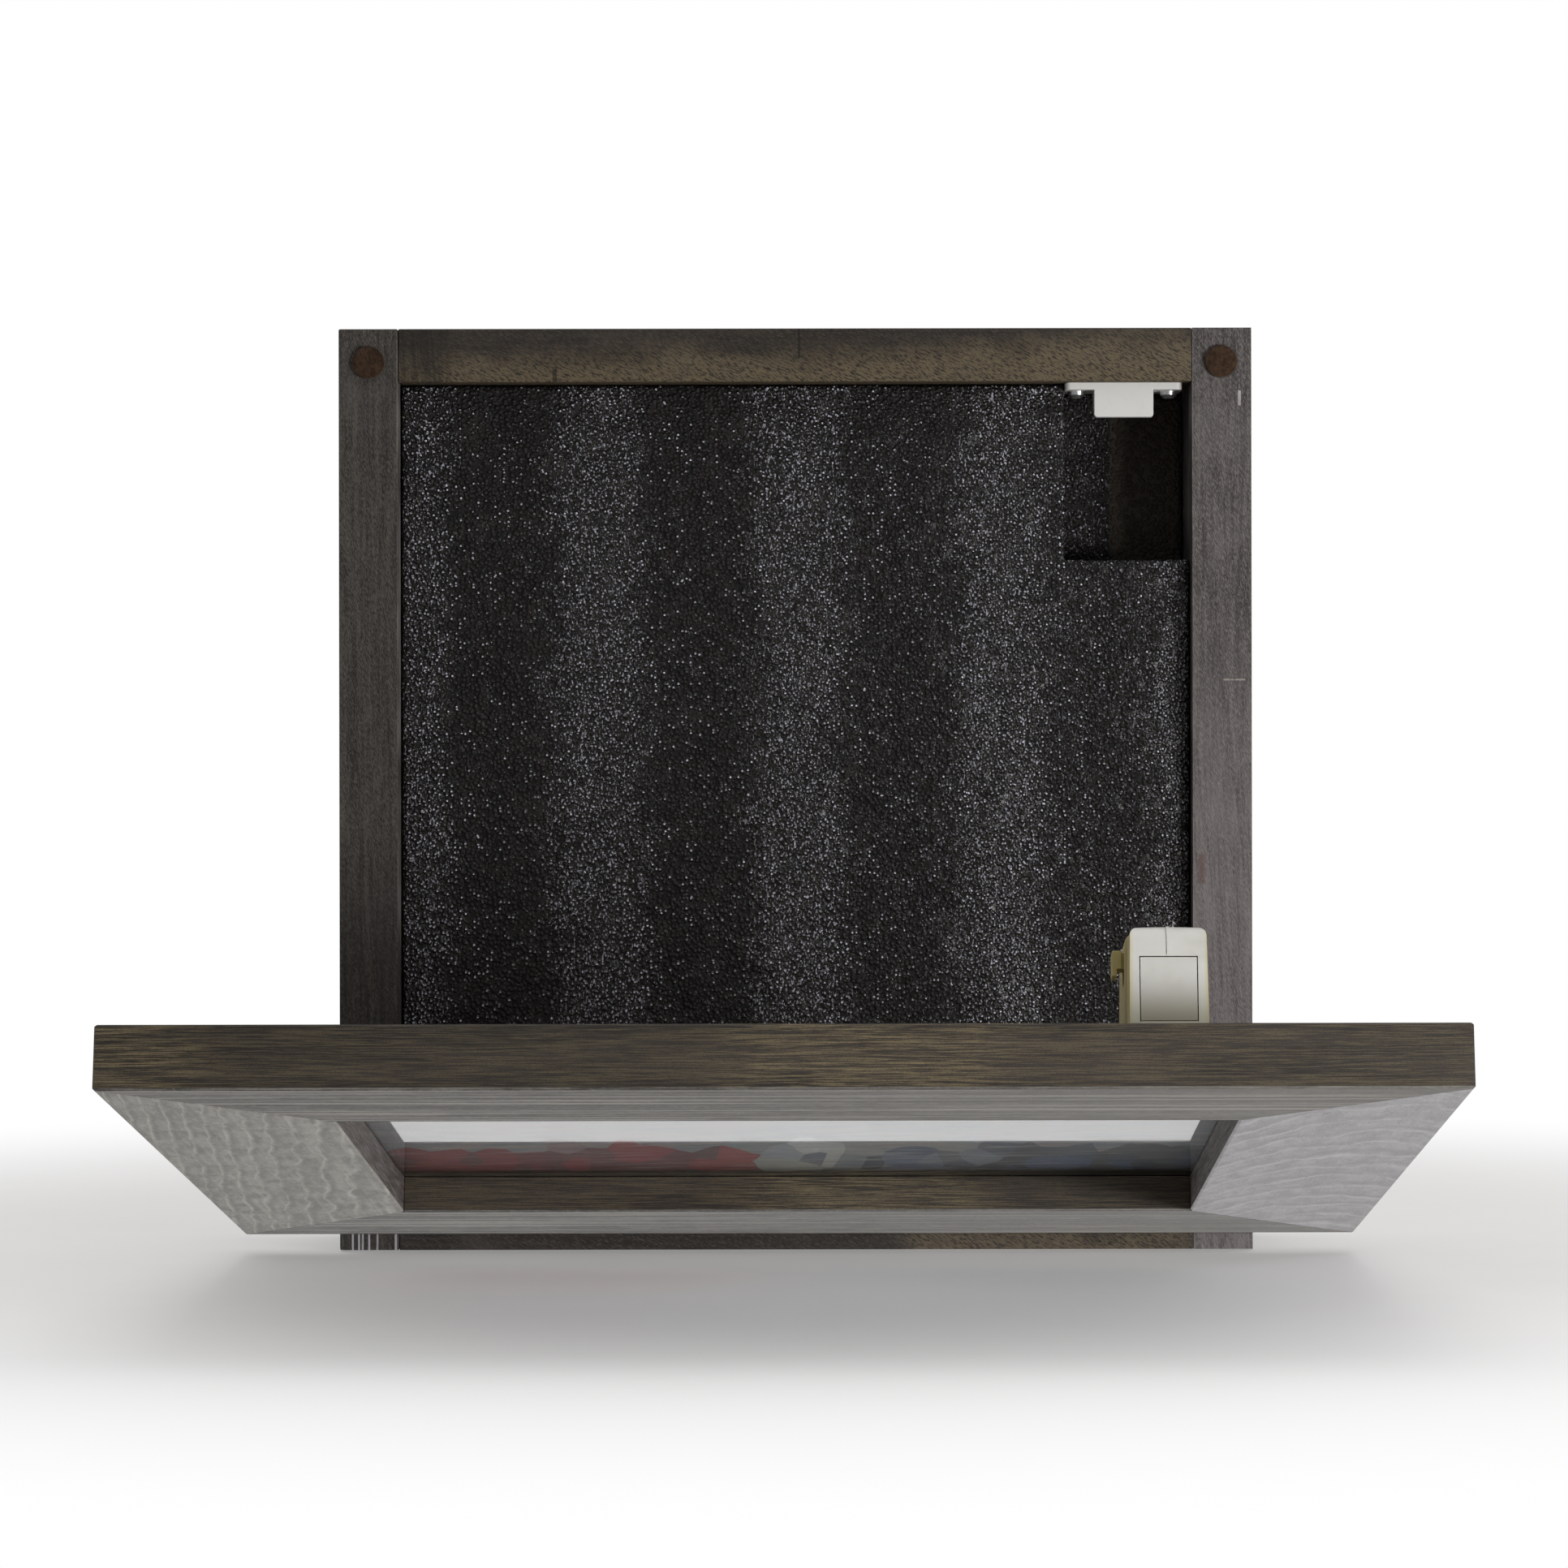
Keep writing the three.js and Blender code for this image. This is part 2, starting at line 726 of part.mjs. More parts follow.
// The outside of the housing: sides that taper, round edges and a slightly crowned free end.
function latchOuter(width, nearZ, farZ) {
  const crown = 0.4;
  const radius = 2.6;
  const outline = roundedOutline(centred(width), [0, latchReach - crown], [0, 0, radius, radius]);
  const peak = outline.findIndex(([x, y]) => x < 0 && y > latchReach / 2);
  outline.splice(peak, 0, [0, latchReach]);
  const tapered = outline.map(([x, y]) => {
    const narrowed = 1 - (latchTaper / (width / 2)) * (y / latchReach);
    return [x * narrowed, y];
  });
  return prism(tapered, 'z', farZ, nearZ);
}

// The housing from the side. grow adds a skin to its free end and to the side facing the strike.
function latchSideView(from, halfWidth, grow) {
  const edgeRadius = 5 + grow;
  const outline = roundedOutline(
    [from, latchReach + grow],
    [-latchLength, grow],
    [0, 0, edgeRadius, 0],
    6,
  );
  return prism(outline, 'x', -halfWidth, halfWidth);
}

function latchHousing() {
  const far = tongueFar + fitGap;
  const partingHalf = 0.5;
  const partingHeight = 0.25;
  const flangeLength = 26;
  const flange = prism(
    roundedOutline(centred(latchWidth), [-1, flangeLength], [0, 0, 2, 2]),
    'y', 0, latchFlangeThickness,
  );
  let body = latchOuter(latchWidth, 0, -latchLength)
    .add(latchOuter(latchWidth + 2 * shellStep, shellStepZ, -latchLength))
    .intersect(latchSideView(-1, latchWidth, 0))
    .add(latchSideView(far + fitGap, partingHalf, partingHeight))
    .add(flange);

  const roomX = latchWidth / 2 - latchWall;
  const roomFar = latchReach - latchWall - 0.4;
  body = body.subtract(
    block([-roomX, roomX], [-1, roomFar], [-latchLength + latchWall, -latchWall]),
  );

  const windowX = tongueWidth / 2 + fitGap;
  const window = block([-windowX, windowX], [tongueNear - fitGap, far], [-latchWall - 1, 1]);
  const undercut = prism(
    [[far - 1, -3], [far + 3, -3], [far, -0.3], [far - 1, -0.3]],
    'x', -windowX, windowX,
  );
  const pinHole = rod(
    [-latchPinHalf, pivotY, pivotZ],
    [1, 0, 0],
    2 * latchPinHalf,
    latchPinRadius + drillGap,
  );
  const switchSlot = block(
    [-latchWidth / 2 - 2, -roomX + 0.5],
    [switchNeckNear - switchTravel - fitGap, switchNeckFar + fitGap],
    [switchBottom + 1 - fitGap, switchTop - 1 + fitGap],
  );
  body = body.subtract(window).subtract(undercut).subtract(pinHole).subtract(switchSlot);

  for (const x of [-latchFlangeScrewX, latchFlangeScrewX]) {
    const at = [x, latchFlangeThickness, latchFlangeScrewZ];
    body = body
      .subtract(screwHole(latchScrew, at, toWall))
      .subtract(countersink(latchScrew, at, toWall));
  }
  return body;
}

// A rocker that lies flush in the window at rest and lifts its near end behind the strike.
function latchTongue() {
  const outline = [
    [tongueNear, tongueTop],
    [tongueNear, tongueBottom],
    [pivotY - 1.5, tongueBottom],
    [pivotY + 1.5, tongueBottom + 0.4],
    [tongueFar - 1.2, -3.4],
    [tongueFar, -1.6],
    [tongueFar, tongueTop],
  ];
  const springHalf = 3.6;
  const springRoomFront = pivotY - 3.9;
  const springRoomBack = pivotY + 2.5;
  const springRoom = rod([-springHalf, pivotY, pivotZ], [1, 0, 0], 2 * springHalf, 2.5).add(
    block(centred(2 * springHalf), [springRoomFront, springRoomBack], [tongueBottom - 1, pivotZ]),
  );
  const magnetRoom = rod(
    [0, magnetY, tongueBottom - 1],
    upward,
    magnetSeat + 1,
    magnetRadius + drillGap,
    32,
  );
  const half = tongueWidth / 2;
  const pinHole = rod(
    [-half - 1, pivotY, pivotZ],
    [1, 0, 0],
    tongueWidth + 2,
    latchPinRadius + drillGap,
  );
  return prism(outline, 'x', -half, half)
    .subtract(pinHole)
    .subtract(springRoom)
    .subtract(magnetRoom);
}

function latchMagnet() {
  const top = tongueBottom + magnetSeat - drillGap;
  return rod([0, magnetY, top - magnetLength], upward, magnetLength, magnetRadius, 32);
}

function latchPin() {
  const half = latchPinHalf - drillGap;
  return rod([-half, pivotY, pivotZ], [1, 0, 0], 2 * half, latchPinRadius);
}

// A torsion spring round the pin: one leg lies under the tongue and one stands in the housing.
class SpringWire extends THREE.Curve {
  getPoint(t) {
    const coilRadius = 1.9;
    const turns = 3.75;
    const pitch = 1.3;
    const firstLeg = 2.2;
    const lastLeg = 8;
    const coil = 2 * Math.PI * coilRadius * turns;
    const along = t * (firstLeg + coil + lastLeg) - firstLeg;
    const turned = THREE.MathUtils.clamp(along / coil, 0, 1);
    const angle = -Math.PI / 2 + turned * turns * 2 * Math.PI;
    const beyond = Math.min(along, 0) + Math.max(along - coil, 0);
    return new THREE.Vector3(
      (turned - 0.5) * turns * pitch,
      pivotY + coilRadius * Math.cos(angle) - beyond * Math.sin(angle),
      pivotZ + coilRadius * Math.sin(angle) + beyond * Math.cos(angle),
    );
  }
}

function latchSpring() {
  const wire = new THREE.Shape();
  wire.absarc(0, 0, 0.3, 0, 2 * Math.PI, false);
  return solid(
    new THREE.ExtrudeGeometry(wire, {
      extrudePath: new SpringWire(),
      steps: 110,
      curveSegments: 3,
      bevelEnabled: false,
    }),
  );
}

// A slider in the left wall: a knob outside, a neck through the slot and a plate inside.
function latchSwitch() {
  const wall = latchWidth / 2 + shellStep;
  const knobOut = wall + 3.2;
  const knobIn = wall + 1.7;
  const plateOut = -latchWidth / 2 + latchWall + fitGap;
  const plateThickness = 1.3;
  const knob = prism(
    roundedOutline([-knobOut, -knobIn], [switchNear, switchFar], [0.5, 0, 0, 0.5]),
    'z', switchBottom, switchTop,
  );
  const neck = block(
    [-knobIn - 0.3, plateOut + 0.2],
    [switchNeckNear, switchNeckFar],
    [switchBottom + 1, switchTop - 1],
  );
  const shoulder = block(
    [-knobIn - 0.3, -wall - fitGap],
    [switchNeckNear, switchFar],
    [switchBottom, switchTop],
  );
  const plate = block(
    [plateOut, plateOut + plateThickness],
    [switchNeckNear - 1.2, switchFar + 1],
    [switchBottom - 0.5, switchTop + 0.5],
  );
  return knob.add(neck).add(shoulder).add(plate);
}

function addLatch(group) {
  const latch = new THREE.Group();
  latch.position.set(latchX, doorBackY, doorBottom + latchHeight);
  group.add(latch);
  add(latch, 'latch_housing', latchHousing(), ivoryPlastic);
  add(latch, 'latch_tongue', latchTongue(), ivoryPlastic);
  add(latch, 'latch_magnet', latchMagnet(), magnetMetal);
  add(latch, 'latch_pin', latchPin(), zincSteel);
  add(latch, 'latch_spring', latchSpring(), zincSteel);
  add(latch, 'latch_switch', latchSwitch(), olivePlastic);
  latchScrewPlaces().forEach((at, i) => {
    addScrew(group, `latch_screw_${i + 1}`, latchScrew, at, toWall);
  });
}

// ---- Whole object ----

function addCase(group) {
  for (const { name, sign } of sides) {
    add(group, `side_board_${name}`, sideBoard(sign), caseWood);
    add(group, `keyhole_plate_${name}`, keyholePlate(sign), zincSteel);
    [-keyholeScrewOffset, keyholeScrewOffset].forEach((offset, i) => {
      const at = [sign * keyholeX, 0, keyholeZ + offset];
      addScrew(group, `keyhole_screw_${name}_${i + 1}`, keyholeScrew, at, toWall);
    });
    add(group, `felt_bumper_${name}`, feltBumper(sign), felt);
    addHingeToCase(group, { name, sign });
  }
  add(group, 'top_board', topBoard(), caseWood);
  add(group, 'bottom_board', bottomBoard(), caseWood);
  add(group, 'back_panel', backPanel(), plywood);
  add(group, 'foam_back', backFoam(), foam);
  add(group, 'foam_front', frontFoam(), foam);
  add(group, 'strike_plate', strikePlate(), whitePlastic);
  centred(strikeScrewSpacing).forEach((offset, i) => {
    const at = [strikeX + offset, strikeScrewY, innerZ - strikeFlangeThickness];
    addScrew(group, `strike_screw_${i + 1}`, strikeScrew, at, downward);
  });
}

function addDoor(group) {
  const door = new THREE.Group();
  door.position.set(0, pinY, pinZ);
  door.rotation.x = openAngle;
  group.add(door);
  addFrame(door);
  addPicture(door);
  for (const side of sides) addHingeToDoor(door, side);
  addLatch(door);
}

const shadowBox = new THREE.Group();
addCase(shadowBox);
addDoor(shadowBox);

export default shadowBox;
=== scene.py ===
"""Looks of the shadow box: foam and felt as modelled pieces, a procedural material for every part of the
case, the door and the latch, a pale studio and the camera."""

import json
import math
from collections import namedtuple

import bpy
import numpy as np
from mathutils import Matrix, Vector, noise


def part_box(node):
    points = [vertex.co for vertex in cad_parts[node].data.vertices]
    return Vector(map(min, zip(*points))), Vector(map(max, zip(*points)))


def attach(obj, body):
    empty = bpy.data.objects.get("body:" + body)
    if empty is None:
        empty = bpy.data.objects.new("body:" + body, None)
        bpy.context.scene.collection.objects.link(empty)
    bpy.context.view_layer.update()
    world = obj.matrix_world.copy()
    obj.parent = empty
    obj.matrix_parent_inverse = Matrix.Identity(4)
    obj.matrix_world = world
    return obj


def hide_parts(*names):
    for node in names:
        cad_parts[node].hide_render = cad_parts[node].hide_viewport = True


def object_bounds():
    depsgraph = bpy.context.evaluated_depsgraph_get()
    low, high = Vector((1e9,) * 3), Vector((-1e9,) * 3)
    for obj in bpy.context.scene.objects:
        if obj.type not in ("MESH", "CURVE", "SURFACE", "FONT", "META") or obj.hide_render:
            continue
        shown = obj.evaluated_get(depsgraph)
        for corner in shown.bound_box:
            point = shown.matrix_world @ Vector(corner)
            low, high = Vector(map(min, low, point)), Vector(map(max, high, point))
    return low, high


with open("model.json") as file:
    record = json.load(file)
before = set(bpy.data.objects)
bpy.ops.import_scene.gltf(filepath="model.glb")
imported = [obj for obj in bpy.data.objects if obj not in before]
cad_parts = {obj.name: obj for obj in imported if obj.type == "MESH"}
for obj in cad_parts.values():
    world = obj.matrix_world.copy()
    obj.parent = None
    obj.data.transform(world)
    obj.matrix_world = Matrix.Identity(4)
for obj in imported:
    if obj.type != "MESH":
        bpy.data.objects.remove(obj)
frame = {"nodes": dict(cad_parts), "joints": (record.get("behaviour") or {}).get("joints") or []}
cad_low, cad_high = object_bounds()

MM = 0.001
nodes = frame["nodes"]
joints = {joint["name"]: joint for joint in frame["joints"]}

case_front_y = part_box("side_board_left")[0].y / MM

# The door is modelled open. Turning a point of it back by the hinge's travel gives its closed place.
pin = Vector(joints["door_hinge"]["pos_m"])
closing_angle = math.radians(joints["door_hinge"]["range_deg"][0])
door_face_y = -20.4  # display face of the closed door, from the hinge pin, in millimetres
arris_depth = 0.7  # how far the dark stain of the door's edges stays behind its display face
latch_middle_x = 115.5

# The foam's bands of gloss run upright, evenly spaced across the box, with glints painted more densely in
# them.
band_period = 71.0
band_centre = 1.4  # x of the middle band


def tone(code):
    """The linear colour of a hex code."""
    parts = [int(code[i : i + 2], 16) / 255 for i in (0, 2, 4)]
    return tuple(c / 12.92 if c <= 0.04045 else ((c + 0.055) / 1.055) ** 2.4 for c in parts)


# ---- Materials ----


class Graph:
    """The node tree of one material. A call takes sockets or plain values, and lengths are in millimetres."""

    def __init__(self, name, in_door=False):
        self.material = bpy.data.materials.new(name)
        self.material.use_nodes = True
        self.tree = self.material.node_tree
        self.tree.nodes.clear()
        output = self.tree.nodes.new("ShaderNodeOutputMaterial")
        self.surface = output.inputs["Surface"]
        self.texture = self.tree.nodes.new("ShaderNodeTexCoord")
        self.point = self.place(in_door)

    def feed(self, socket, value):
        if isinstance(value, bpy.types.NodeSocket):
            self.tree.links.new(value, socket)
        elif socket.type == "RGBA" and len(value) == 3:
            socket.default_value = (*value, 1)
        else:
            socket.default_value = value

    def node(self, kind, inputs=(), **settings):
        node = self.tree.nodes.new(kind)
        for name, value in settings.items():
            setattr(node, name, value)
        for key, value in dict(inputs).items():
            self.feed(node.inputs[key], value)
        return node

    def place(self, in_door):
        """The point being shaded: in the row frame, or in the frame of the closed door."""
        turn = Matrix.Rotation(closing_angle if in_door else 0, 3, "X")
        start = pin if in_door else Vector()
        inputs = {
            "Vector": self.texture.outputs["Object"],
            "Location": -(turn @ start) / MM,
            "Rotation": turn.to_euler(),
            "Scale": (1 / MM,) * 3,
        }
        return self.node("ShaderNodeMapping", inputs).outputs[0]

    def stretch(self, vector, scale, turn=(0, 0, 0)):
        """vector turned by angles in degrees, then scaled along each axis."""
        turned = self.node(
            "ShaderNodeMapping",
            {"Vector": vector, "Rotation": [math.radians(a) for a in turn]},
        )
        inputs = {"Vector": turned.outputs[0], "Scale": scale}
        return self.node("ShaderNodeMapping", inputs).outputs[0]

    def split(self, vector):
        return tuple(self.node("ShaderNodeSeparateXYZ", {"Vector": vector}).outputs)

    def math(self, operation, a, b=0.0):
        node = self.node("ShaderNodeMath", operation=operation)
        self.feed(node.inputs[0], a)
        self.feed(node.inputs[1], b)
        return node.outputs[0]

    def add(self, a, b):
        return self.math("ADD", a, b)

    def times(self, a, b, plus=0.0):
        product = self.math("MULTIPLY", a, b)
        return self.add(product, plus) if plus else product

    def noise(self, vector, size, detail=2.0, roughness=0.5, distortion=0.0):
        inputs = {
            "Vector": vector,
            "Scale": 1 / size,
            "Detail": detail,
            "Roughness": roughness,
            "Distortion": distortion,
        }
        return self.node("ShaderNodeTexNoise", inputs).outputs["Fac"]

    def cells(self, vector, size, feature="F1", output="Distance"):
        inputs = {"Vector": vector, "Scale": 1 / size}
        return self.node("ShaderNodeTexVoronoi", inputs, feature=feature).outputs[output]

    def levels(self, value, low, high, to_low=0.0, to_high=1.0):
        """value carried smoothly from low..high to to_low..to_high, and held at both ends."""
        inputs = {
            "Value": value,
            "From Min": low,
            "From Max": high,
            "To Min": to_low,
            "To Max": to_high,
        }
        node = self.node("ShaderNodeMapRange", inputs, interpolation_type="SMOOTHSTEP")
        return node.outputs[0]

    def between(self, value, low, high, soft=0.3):
        """1 between two places and 0 beyond them."""
        return self.times(self.levels(value, low - soft, low), self.levels(value, high + soft, high))

    def ramp(self, value, *stops):
        """A colour from (place, colour) stops."""
        node = self.node("ShaderNodeValToRGB", {"Fac": value})
        elements = node.color_ramp.elements
        while len(elements) < len(stops):
            elements.new(1.0)
        for element, (place, colour) in zip(elements, stops):
            element.position = place
            element.color = (*colour, 1)
        return node.outputs["Color"]

    def mix(self, factor, a, b):
        node = self.node("ShaderNodeMix", data_type="RGBA")
        for index, value in ((0, factor), (6, a), (7, b)):
            self.feed(node.inputs[index], value)
        return node.outputs[2]

    def bump(self, height, depth):
        """A surface normal from a height of 0 to 1 that stands for a depth in millimetres."""
        inputs = {"Height": height, "Distance": depth * MM, "Strength": 1.0}
        return self.node("ShaderNodeBump", inputs).outputs[0]

    def worn_edge(self, radius):
        """1 on corners that stand out or in within a radius, 0 on flat faces."""
        rounded = self.node("ShaderNodeBevel", {"Radius": radius * MM}, samples=4).outputs[0]
        flat = self.node("ShaderNodeNewGeometry").outputs["Normal"]
        dot = self.node("ShaderNodeVectorMath", operation="DOT_PRODUCT")
        self.feed(dot.inputs[0], rounded)
        self.feed(dot.inputs[1], flat)
        return self.levels(dot.outputs["Value"], 0.99, 0.8)

    def finish(self, colour, roughness, normal=None, **inputs):
        """Ends the tree with a Principled surface."""
        values = {"Base Color": colour, "Roughness": roughness, **inputs}
        if normal is not None:
            values["Normal"] = normal
        shader = self.node("ShaderNodeBsdfPrincipled", values)
        self.tree.links.new(shader.outputs[0], self.surface)
        return self.material


def along_axis(axis, share):
    """Scale that leaves a pattern drawn out along an axis by 1 / share."""
    return tuple(share if axis == name else 1 for name in "xyz")


Mark = namedtuple("Mark", "x z colour strength soft", defaults=[0.3])


def stained_wood(name, axis, shade, body, haze, gold=None, streak=None, marks=(), rubbed_arris=None):
    """Rough board under a thin dark stain: short fibres, slanting strokes and a grey haze.

    gold(graph, x, z) is the share of a place that streak-coloured strokes cover. A mark is a patch of
    the front, with its range of x and of z; marks are real marks and also patches of painted shade and
    painted light. rubbed_arris is the distance from the middle of the box to an edge that is rubbed pale."""
    g = Graph(name)
    x, y, z = g.split(g.point)
    slant = -30 if axis == "x" else 24
    fibres = g.noise(g.stretch(g.point, along_axis(axis, 0.3)), 0.38, 3, 0.7)
    bands = g.noise(g.stretch(g.point, along_axis(axis, 0.05)), 1.6, 3, 0.65)
    patches = g.noise(g.point, 30, 3, 0.55)
    strokes = g.noise(g.stretch(g.point, along_axis(axis, 0.2), (0, slant, 0)), 0.42, 3, 0.7)
    pits = g.noise(g.stretch(g.point, (0.5, 1, 1), (0, 20, 0)), 0.5, 2, 0.6)
    scratches = g.noise(g.stretch(g.point, (1, 1, 0.03), (0, 4, 0)), 1.1, 2, 0.6)

    weight = g.add(g.times(fibres, 0.65), g.times(bands, 0.35))
    tint = g.mix(g.levels(weight, 0.38, 0.62), tone(shade), tone(body))
    if gold is not None:
        covered = g.levels(g.add(patches, gold(g, x, z)), 0.6, 1.0)
        tint = g.mix(g.times(covered, g.levels(strokes, 0.36, 0.58)), tint, tone(streak))
    tint = g.mix(g.levels(strokes, 0.5, 0.4, 0, 0.6), tint, tone(shade))
    tint = g.mix(g.levels(strokes, 0.54, 0.66, 0, 0.5), tint, tone(haze))
    tint = g.mix(g.levels(patches, 0.45, 0.75, 0, 0.25), tint, tone(haze))
    tint = g.mix(g.levels(pits, 0.4, 0.28, 0, 0.5), tint, tone("161311"))
    tint = g.mix(g.levels(scratches, 0.78, 0.82, 0, 0.5), tint, tone("a9a4a0"))
    if rubbed_arris is not None:
        from_arris = g.add(g.math("ABSOLUTE", x), -rubbed_arris)
        rubbed = g.times(g.levels(from_arris, 0.6, 0.1), g.levels(patches, 0.4, 0.65, 0.0, 0.45))
        tint = g.mix(rubbed, tint, tone("8a8682"))
    tint = marked(g, tint, marks, scratches)

    height = g.add(g.times(fibres, 0.6), g.add(g.times(strokes, 0.4), g.times(pits, 0.4)))
    roughness = g.levels(fibres, 0.2, 0.8, 0.55, 0.8)
    return g.finish(tint, roughness, g.bump(height, 0.2), **{"Specular IOR Level": 0.28})


def marked(g, tint, marks, scratches):
    """tint with the marks on the front of the case, painted shade and light among them, broken up by the
    scratches.
    """
    x, y, z = g.split(g.point)
    front = g.levels(y, case_front_y + 1.0, case_front_y + 0.6)
    ragged = g.levels(scratches, 0.42, 0.52, 0.5, 1.0)
    for mark in marks:
        across = g.times(front, g.between(x, *mark.x, mark.soft))
        inside = g.times(across, g.between(z, *mark.z, mark.soft))
        tint = g.mix(g.times(g.times(inside, ragged), mark.strength), tint, tone(mark.colour))
    return tint


def top_gold(g, x, z):
    """Gold over most of the board, thinner at the left end and along the upper edge."""
    return g.add(g.times(x, 0.0011), g.times(z, -0.035, 5.7))


def bottom_gold(g, x, z):
    """Gold on the right half only."""
    return g.levels(x, 20, 50, -0.2, 0.38)


def frame_wood(name, axis, rings, shade, body, ridge, ring_contrast=1.0, banding=0.25, waver=1.1):
    """Door moulding: weathered grey display face with growth rings, its grey partly a painted sheen, and dark
    stain on edges, lip and back.

    rings(graph, x, z) counts growth rings from some line to a point of the closed door."""
    g = Graph(name, in_door=True)
    x, y, z = g.split(g.point)
    face = g.levels(y, door_face_y + arris_depth + 0.1, door_face_y + arris_depth)
    fibres = g.noise(g.stretch(g.point, along_axis(axis, 0.07)), 0.5, 6, 0.75)
    bends = g.noise(g.stretch(g.point, along_axis(axis, 0.6)), 15, 2, 0.4)
    ring = g.math("FRACT", g.add(rings(g, x, z), g.times(g.add(bends, -0.5), waver)))
    profile = g.ramp(
        ring,
        (0.0, (0.42,) * 3),
        (0.12, (1, 1, 1)),
        (0.25, (0.3,) * 3),
        (0.36, (0.08,) * 3),
        (0.7, (0.34,) * 3),
        (1.0, (0.42,) * 3),
    )

    grey = weathered_grey(g, axis, fibres, tone(shade), tone(body), tone(ridge), banding)
    strength = g.levels(g.noise(g.point, 22, 2, 0.5), 0.35, 0.65, 0.3 * ring_contrast, ring_contrast)
    grey = g.mix(g.times(strength, g.levels(profile, 0.4, 1.0, 0, 0.75)), grey, tone(ridge))
    grey = g.mix(g.times(strength, g.levels(profile, 0.34, 0.08, 0, 0.8)), grey, tone(shade))
    # Painted light: the grey turns paler towards the right, nearer the lamp.
    grey = g.mix(g.levels(x, -150, 190, 0, 0.3), grey, tone(ridge))
    smudges = g.levels(g.noise(g.stretch(g.point, (1, 1, 0.6)), 8, 5, 0.7), 0.65, 0.74)
    grey = g.mix(g.times(smudges, 0.55), grey, tone("47433d"))
    tint = g.mix(face, dark_stain(g, axis), grey)

    height = g.add(g.times(profile, g.times(face, 0.5)), g.times(fibres, 0.5))
    roughness = g.levels(fibres, 0.2, 0.8, 0.5, 0.78)
    return g.finish(tint, roughness, g.bump(height, 0.3), **{"Specular IOR Level": 0.3})


def weathered_grey(g, axis, fibres, shade, body, ridge, banding):
    """Grey wood between its rings: blotches, lengthwise bands, fibres and a fine mottle."""
    blotches = g.noise(g.stretch(g.point, along_axis(axis, 0.45)), 6, 5, 0.7)
    bands = g.noise(g.stretch(g.point, along_axis(axis, 0.01)), 3.4, 3, 0.7)
    mottle = g.noise(g.stretch(g.point, along_axis(axis, 0.45)), 0.8, 4, 0.75)
    grey = g.mix(g.levels(blotches, 0.36, 0.64), shade, body)
    grey = g.mix(g.levels(bands, 0.5, 0.41, 0, banding), grey, shade)
    grey = g.mix(g.levels(bands, 0.52, 0.61, 0, banding), grey, ridge)
    grey = g.mix(g.levels(fibres, 0.42, 0.75, 0, 0.5), grey, ridge)
    grey = g.mix(g.levels(fibres, 0.5, 0.3, 0, 0.5), grey, shade)
    grey = g.mix(g.levels(mottle, 0.5, 0.66, 0, 0.35), grey, ridge)
    return g.mix(g.levels(mottle, 0.5, 0.34, 0, 0.35), grey, shade)


def dark_stain(g, axis):
    """Stained wood with threads that shine gold near the left end and right of the middle. On a
    stile, which runs along z, the threads are grey."""
    x = g.split(g.point)[0]
    across = "z" if axis == "x" else "x"
    clouds = g.noise(g.stretch(g.point, along_axis(axis, 0.12)), 9, 3, 0.5)
    threads = g.noise(g.stretch(g.point, along_axis(axis, 0.02)), 0.34, 4, 0.75)
    weave = g.noise(g.stretch(g.point, along_axis(across, 0.25)), 0.34, 2, 0.6)
    dark = g.mix(g.levels(clouds, 0.36, 0.66), tone("2a2622"), tone("3b352f"))
    gilded = g.add(g.levels(g.math("ABSOLUTE", g.add(x, -25)), 60, 15), g.levels(x, -150, -185))
    gilt = g.times(g.levels(threads, 0.44, 0.6), g.levels(gilded, 0, 1, 0.35, 0.85))
    dark = g.mix(gilt, dark, tone("7a6c52"))
    if axis == "z":
        dark = g.mix(g.levels(threads, 0.46, 0.62, 0.05, 0.8), dark, tone("746e71"))
    return g.mix(g.levels(weave, 0.5, 0.38, 0, 0.4), dark, tone("231f1b"))


def straight_rings(g, x, z):
    """Rail: rings run along the rail."""
    return g.times(z, 0.16)


def leaning_rings(g, x, z):
    """Left stile: rings run along the stile, lean a little across it and widen towards the picture."""
    lip_x, lean = -134.0, 0.09
    aside = g.add(g.add(x, -lip_x), g.times(z, -lean))
    return g.add(g.times(aside, 0.075), g.times(g.times(aside, aside), -0.0008))


def arched_rings(g, x, z):
    """Right stile: flat arches whose crowns lie near the outer edge."""
    crown_x = 180.0
    aside = g.add(x, -crown_x)
    return g.add(g.times(z, 0.04), g.times(g.times(aside, aside), 0.0012))


